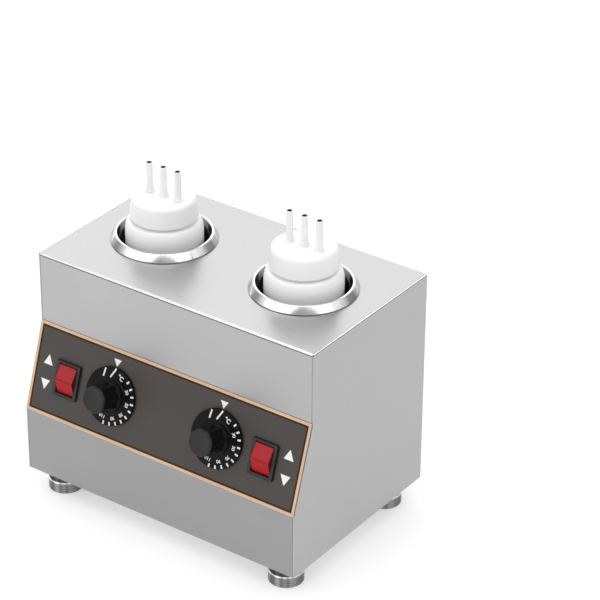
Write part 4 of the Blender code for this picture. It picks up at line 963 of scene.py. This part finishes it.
def make_collar(side):
    """The polished cone ring round a well's mouth."""
    low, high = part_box(f"well_collar_{side}")
    foot = (high.x - low.x) / 2
    over_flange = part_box(f"well_{side}")[1].z + GAP
    profile = rounded([
        (COLLAR_MOUTH, high.z, COLLAR_LIP / 2),
        (COLLAR_MOUTH + 2 * COLLAR_LIP, high.z, COLLAR_LIP),
        (foot, low.z + COLLAR_EDGE, TURNED_EDGE),
        (foot, low.z, TURNED_EDGE),
        (foot - COLLAR_RIM, low.z),
        (foot - COLLAR_RIM, over_flange),
        (WELL_RADIUS + GAP, over_flange),
        (COLLAR_MOUTH - COLLAR_LIP / 2, high.z - COLLAR_LIP, TURNED_EDGE),
    ])
    form = bmesh.new()
    add_turned(form, profile)
    piece(f"cone_collar_{side}", finished_mesh(form), POLISHED,
          [f"well_collar_{side}"], upright(f"well_{side}"))


def make_bottle(side):
    """A squeeze bottle: domed base, rounded shoulder, and an open neck with a shallow thread."""
    low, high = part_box(f"bottle_{side}")
    radius = (high.x - low.x) / 2
    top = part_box("front_top_panel")[1].z
    shoulder_low = top + SHOULDER_ABOVE_TOP
    shoulder_high = shoulder_low + SHOULDER_HEIGHT
    outer, inner = [], []
    for i in range(2 * ARC_STEPS + 1):
        t = math.pi / 2 * i / (2 * ARC_STEPS)
        x, z = radius - SHOULDER_WIDTH * (1 - math.cos(t)), SHOULDER_HEIGHT * math.sin(t)
        outer.append((x, shoulder_low + z))
        inner.append((x - BOTTLE_WALL, shoulder_low + z - BOTTLE_WALL * (1 + math.sin(t)) / 2))
    base = rounded([
        (0, low.z + BOTTLE_WALL + BOTTLE_PUSH_UP),
        (radius - BOTTLE_WALL, low.z + BOTTLE_WALL, BOTTLE_CORNER),
        inner[0],
    ], closed=False)[:-1]
    under = rounded([
        outer[0],
        (radius, low.z, BOTTLE_CORNER),
        (radius - 2 * BOTTLE_CORNER, low.z, BOTTLE_CORNER),
        (0, low.z + BOTTLE_PUSH_UP),
    ], closed=False)[1:]
    neck = rounded([
        inner[-1],
        (NECK_RADIUS - BOTTLE_WALL, inner[-1][1]),
        (NECK_RADIUS - BOTTLE_WALL, high.z, TURNED_EDGE),
        (NECK_RADIUS, high.z, TURNED_EDGE),
        (NECK_RADIUS, shoulder_high, TURNED_EDGE),
        outer[-1],
    ], closed=False)[1:-1]
    form = bmesh.new()
    add_turned(form, [*base, *inner, *neck, *reversed(outer), *under], closed=False)
    add_thread(form, shoulder_high + THREAD_PITCH, THREAD_TURNS)
    piece(f"squeeze_bottle_{side}", finished_mesh(form), WHITE,
          [f"bottle_{side}"], upright(f"bottle_{side}"), f"flask_{side}")


def add_thread(form, start, turns):
    """A low round ridge that winds up the neck and runs out at both ends."""
    steps = ROUND * turns // 2
    rings = []
    for i in range(steps + 1):
        share = i / steps
        t = math.tau * turns * share
        proud = THREAD_HEIGHT * math.sin(math.pi * share) ** 0.3 if 0 < share < 1 else 0
        height = start + THREAD_PITCH * turns * share / 2
        section = []
        for out, up in ((-THREAD_HEIGHT, -1), (proud, -0.4), (proud, 0.4), (-THREAD_HEIGHT, 1)):
            r = NECK_RADIUS + out
            section.append((r * math.cos(t), r * math.sin(t), height + up * THREAD_WIDTH / 2))
        rings.append(section)
    rows = [[form.verts.new(point) for point in ring] for ring in rings]
    for a, b in zip(rows, rows[1:]):
        for k in range(4):
            form.faces.new((a[k], a[(k + 1) % 4], b[(k + 1) % 4], b[k]))
    form.faces.new(rows[0])
    form.faces.new(rows[-1])


def make_cap(side):
    """The screw cap, soft-edged, with three spouts in a row."""
    low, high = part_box(f"bottle_cap_{side}")
    top = high.z - SPOUT_HEIGHT
    bottom_radius = (high.y - low.y) / 2
    ceiling = top - CAP_ROOF
    profile = rounded([
        (0, top),
        (CAP_TOP_RADIUS, top, CAP_EDGE),
        (bottom_radius, low.z, CAP_RIM),
        (NECK_RADIUS + GAP, low.z, CAP_RIM),
        (NECK_RADIUS + GAP, ceiling),
        (0, ceiling),
    ], closed=False, steps=2 * ARC_STEPS)
    form = bmesh.new()
    add_turned(form, profile, closed=False)
    flare = SPOUT_BASE_RADIUS - SPOUT_RADIUS
    for i in (-1, 0, 1):
        spout = [
            (SPOUT_BORE, ceiling),
            (SPOUT_BASE_RADIUS, ceiling),
            (SPOUT_BASE_RADIUS, top + SPOUT_BASE_HEIGHT / 5),
            (SPOUT_BASE_RADIUS - flare / 2, top + SPOUT_BASE_HEIGHT / 4, flare),
            (SPOUT_RADIUS, top + SPOUT_BASE_HEIGHT, flare),
            (SPOUT_TIP_RADIUS, high.z, TURNED_EDGE),
            (SPOUT_BORE, high.z, TURNED_EDGE),
        ]
        add_turned(form, rounded(spout, steps=4), SMALL_ROUND, (i * SPOUT_SPACING, 0))
    piece(f"spout_cap_{side}", finished_mesh(form), WHITE,
          [f"bottle_cap_{side}"], upright(f"bottle_{side}"), f"cap_{side}")
    # A thin dark shell in each spout's bore is painted shade
    form = bmesh.new()
    for i in (-1, 0, 1):
        bore_shade = [
            (SPOUT_BORE, top),
            (SPOUT_BORE, high.z - TURNED_EDGE),
            (SPOUT_BORE - SHADE_SHELL, high.z - 2 * TURNED_EDGE),
            (SPOUT_BORE - SHADE_SHELL, top + SHADE_SHELL),
            (0, top + SHADE_SHELL),
            (0, top),
        ]
        add_turned(form, bore_shade, SMALL_ROUND, (i * SPOUT_SPACING, 0), closed=False)
    piece(f"spout_bore_shade_{side}", finished_mesh(form), BORE_SHADE,
          place=upright(f"bottle_{side}"), body=f"cap_{side}")


# Knobs

def flute_radius(t):
    """How far out the grip may reach at a turn of t, beside its flutes."""
    step = math.tau / FLUTES
    off = (t - FLUTE_TURN + step / 2) % step - step / 2
    reach = (GRIP_BASE_RADIUS + GRIP_TIP_RADIUS) / 2 + FLUTE_RADIUS - FLUTE_DEPTH
    aside = reach * math.sin(off)
    if abs(aside) >= FLUTE_RADIUS:
        return GRIP_BASE_RADIUS
    return reach * math.cos(off) - math.sqrt(FLUTE_RADIUS ** 2 - aside ** 2)


def make_knob(side):
    """A knob: a dial skirt, a low boss, and a fluted grip with a soft edge."""
    steps = FLUTES * FLUTE_STEPS
    boss = SKIRT_FACE + BOSS_HEIGHT
    skirt = rounded([
        (0, SKIRT_BACK + SHAFT_BORE_DEPTH),
        (SHAFT_BORE, SKIRT_BACK + SHAFT_BORE_DEPTH),
        (SHAFT_BORE, SKIRT_BACK),
        (SKIRT_RADIUS, SKIRT_BACK, TURNED_EDGE),
        (SKIRT_RADIUS, SKIRT_FACE, SKIRT_EDGE),
        (BOSS_RADIUS, SKIRT_FACE),
        (BOSS_RADIUS - BOSS_HEIGHT, boss, TURNED_EDGE),
        (GRIP_BASE_RADIUS, boss, TURNED_EDGE),
        (GRIP_BASE_RADIUS, boss + BOSS_HEIGHT),
    ], closed=False)
    rings = [circle(radius, height, steps) for radius, height in skirt]
    flute_low, high = boss + BOSS_HEIGHT, KNOB_TIP - GRIP_EDGE
    rows = []
    for i in range(ARC_STEPS + 1):
        share = i / ARC_STEPS
        rows.append((flute_low + FLUTE_RISE * share, share ** 2 * (3 - 2 * share), 0))
    for i in range(ARC_STEPS + 1):
        t = math.pi / 2 * i / ARC_STEPS
        rows.append((high + GRIP_EDGE * math.sin(t), 1, GRIP_EDGE * (1 - math.cos(t))))
    rows.append((KNOB_TIP, 1, GRIP_RIM))
    rows.append((KNOB_TIP - GRIP_DISH, 1, GRIP_RIM + 2 * GRIP_DISH))
    for height, depth, inset in rows:
        share = (height - boss) / (KNOB_TIP - boss)
        full = GRIP_BASE_RADIUS + (GRIP_TIP_RADIUS - GRIP_BASE_RADIUS) * share
        rings.append(ring(lambda t: full - depth * max(full - flute_radius(t), 0) - inset, height, steps))
    rings.append([(0, 0, KNOB_TIP - GRIP_DISH)])
    form = bmesh.new()
    add_rings(form, rings, closed=False)
    piece(f"dial_knob_{side}", finished_mesh(form), KNOB_BLACK,
          [f"knob_{side}"], on_slope(knob_x(side)), f"dial_{side}")


def clockwise(t, radius):
    return radius * math.sin(t), radius * math.cos(t)


def make_dial_marks(side):
    """Ticks, numbers and the off mark on a dial's skirt."""
    form = bmesh.new()
    turns = [TICK_START + TICK_STEP * i for i in range(TICKS)] + [LAST_TICK]
    for t in turns:
        inner, outer = TICK_RADIUS - TICK_LENGTH / 2, TICK_RADIUS + TICK_LENGTH / 2
        add_bar(form, clockwise(t, inner), clockwise(t, outer), TICK_WIDTH)
    for start, end in (OFF_LINE, START_LINE):
        add_bar(form, start, end, TICK_WIDTH)
    for words, degrees in NUMBERS.items():
        t = math.radians(degrees)
        place = Matrix.Translation((*clockwise(t, NUMBER_RADIUS), 0)) @ Matrix.Rotation(-t, 4, "Z")
        add_words(form, words, NUMBER_SIZE, place)
    place = Matrix.Translation((*UNIT_PLACE, 0)) @ Matrix.Rotation(-math.atan2(*UNIT_PLACE), 4, "Z")
    add_words(form, "°C", UNIT_SIZE, place)
    piece(f"dial_marks_{side}", finished_mesh(form), WHITE_PRINT,
          place=on_slope(knob_x(side), 0, SKIRT_FACE), body=f"dial_{side}")


# Control panel

def panel_corners():
    """Half the overlay's width, half its length up the slope, and how far up its middle is."""
    half_slope = SLOPE_RUN / UP_SLOPE.y / 2
    top, bottom = half_slope + OVERLAY_LAP, -half_slope + OVERLAY_LOW_INSET
    return SIDE_HIGH.x - OVERLAY_END_INSET, (top - bottom) / 2, (top + bottom) / 2


def make_overlay():
    """The printed film on the slope, with its holes."""
    half_width, half_height, up = panel_corners()
    outline = rectangle(2 * half_width, 2 * half_height, (0, up), OVERLAY_CORNER)
    cutters = []
    for side in SIDES:
        cutters += panel_holes(side, 0)
    mesh = cut(prism(outline, OVERLAY_BACK, OVERLAY_FACE), cutters)
    piece("printed_overlay", mesh, PANEL, ["control_panel"], on_slope())


def make_border():
    """The panel's light border, and the dark line inside it."""
    half_width, half_height, up = panel_corners()
    for name, look, inset, width in (
        ("panel_border", ORANGE, 0, BORDER_WIDTH),
        ("panel_border_line", BROWN, BORDER_WIDTH, BORDER_LINE),
    ):
        w, h = half_width - inset, half_height - inset
        form = bmesh.new()
        for way in (-1, 1):
            x, y = way * (w - width / 2), way * (h - width / 2)
            add_bar(form, (-w, y), (w, y), width)
            add_bar(form, (x, width - h), (x, h - width), width)
        piece(name, finished_mesh(form), look, place=on_slope(0, up, OVERLAY_FACE))


def make_panel_marks():
    """White arrows: one above each dial, and two beside each switch."""
    form = bmesh.new()
    for side, sign in SIDES.items():
        x = knob_x(side)
        top = POINTER_TIP + POINTER_HEIGHT
        add_print(form, [(x, POINTER_TIP), (x + POINTER_WIDTH / 2, top), (x - POINTER_WIDTH / 2, top)])
        for up, way in ((ARROW_UP, 1), (ARROW_DOWN, -1)):
            x = sign * ARROW_X
            base, tip = up - way * ARROW_HEIGHT / 2, up + way * ARROW_HEIGHT / 2
            add_print(form, [(x - way * ARROW_WIDTH / 2, base), (x + way * ARROW_WIDTH / 2, base), (x, tip)])
    piece("panel_arrows", finished_mesh(form), WHITE_PRINT,
          place=on_slope(out=OVERLAY_FACE))


def make_rocker(side):
    """A red rocker with two hollowed faces that meet in a ridge."""
    half = ROCKER_LENGTH / 2
    face = []
    for i in range(ARC_STEPS + 1):
        share = i / ARC_STEPS
        sag = ROCKER_HOLLOW * 4 * share * (1 - share)
        face.append((half * (1 - share), ROCKER_END + (ROCKER_RIDGE - ROCKER_END) * share - sag))
    outline = [
        *face,
        *[(-x, height) for x, height in reversed(face[:-1])],
        (-half, ROCKER_END - ROCKER_SKIRT),
        (-ROCKER_BELLY, -ROCKER_BELLY / 2),
        (0, -ROCKER_BELLY),
        (ROCKER_BELLY, -ROCKER_BELLY / 2),
        (half, ROCKER_END - ROCKER_SKIRT),
    ]
    mesh = prism(outline, -ROCKER_WIDTH / 2, ROCKER_WIDTH / 2, SIDEWAYS)
    pivot = Vector(JOINTS[f"rocker_tilt_{side}"]["pos_m"])
    place = Matrix.Translation(pivot) @ on_slope().to_3x3().to_4x4() @ Matrix.Rotation(ROCKER_TILT, 4, "X")
    made = piece(f"red_rocker_{side}", mesh, RED, [f"rocker_{side}"], place, f"button_{side}")
    bevelled(made, ROCKER_EDGE, 4)


# Carried-over nodes and the studio

def dress_nodes():
    """Give each CAD node that stays its material."""
    looks = {
        "side_panel": STEEL_SIDE, "rear_panel": STEEL_BACK, "base_plate": STEEL_BACK,
        "heater_band": MICA, "insulation": WOOL, "thermostat": ZINC, "thermostat_shaft": ZINC,
        "capillary": COPPER, "thermal_cutout": CREAM, "terminal_block": CREAM, "earth_stud": ZINC,
        "switch": SWITCH_BLACK, "gland_nut": BLACK, "foot_nut": ZINC, "wire": WIRE, "cap_seal": SILICONE,
    }
    for name, node in frame["nodes"].items():
        kind = max((k for k in looks if name.startswith(k)), key=len, default=None)
        if kind is None:
            continue
        node.data.materials.clear()
        node.data.materials.append(looks[kind])
        if kind in ("switch", "terminal_block", "thermostat"):
            bevelled(node, MOULDED_EDGE, 2)


def make_studio():
    """A pale floor under a soft white tent: brightest overhead and behind, dim low down and at the front."""
    form = bmesh.new()
    bmesh.ops.create_grid(form, x_segments=8, y_segments=8, size=FLOOR_SIZE / 2)
    floor = new_object("floor", finished_mesh(form))
    floor.data.materials.append(floor_material())
    world = bpy.data.worlds.new("studio")
    bpy.context.scene.world = world
    nodes = Nodes(world)
    place = nodes.add("ShaderNodeTexCoord").outputs["Generated"]
    toward_front = Vector((math.sin(CAMERA_TURN[2]), -math.cos(CAMERA_TURN[2]), 0))
    toward_right = Vector((math.cos(CAMERA_TURN[2]), math.sin(CAMERA_TURN[2]), 0))
    brightness = 1.0
    ways = ((0, 0, 1), toward_front, toward_right)
    for way, stops in zip(ways, (TENT_BY_HEIGHT, TENT_BY_TURN, TENT_BY_SIDE)):
        stops = [((cosine + 1) / 2, (value, value, value)) for cosine, value in stops]
        share = nodes.between(nodes.along(way, place), 0, 1, -1, 1)
        brightness = nodes.times(nodes.ramp(share, stops), brightness)
    background = nodes.tree.nodes["Background"]
    nodes.put(brightness, background.inputs["Color"])
    background.inputs["Strength"].default_value = TENT_STRENGTH
    add_light()


def add_light():
    """A square soft light over the part."""
    light = bpy.data.lights.new("soft_top", "AREA")
    given(light, shape="SQUARE", size=LIGHT_SIZE, energy=LIGHT_POWER)
    turn = (-Vector(LIGHT_PLACE)).to_track_quat("-Z", "Y").to_euler()
    given(new_object("soft_top", light), location=LIGHT_PLACE, rotation_euler=turn)


def make_camera():
    """The photograph's view."""
    camera = given(bpy.data.cameras.new("camera"), lens=CAMERA_LENS, sensor_width=CAMERA_SENSOR)
    camera.shift_x, camera.shift_y = CAMERA_SHIFT
    camera.clip_start, camera.clip_end = CAMERA_CLIP
    made = given(new_object("camera", camera), location=CAMERA_PLACE, rotation_euler=CAMERA_TURN)
    bpy.context.scene.camera = made
    bpy.context.scene.view_settings.view_transform = "Standard"


make_camera()
make_studio()
dress_nodes()
make_front_top()
for side in SIDES:
    make_well(side)
    make_collar(side)
    make_bottle(side)
    make_cap(side)
    make_knob(side)
    make_dial_marks(side)
    make_rocker(side)
    for end in ("front", "rear"):
        make_foot(f"{end}_{side}")
        make_foot_bolt(f"{end}_{side}")
    for level in ("low", "high"):
        make_rear_screw(f"{level}_{side}")
make_overlay()
make_border()
make_panel_marks()
make_gland()
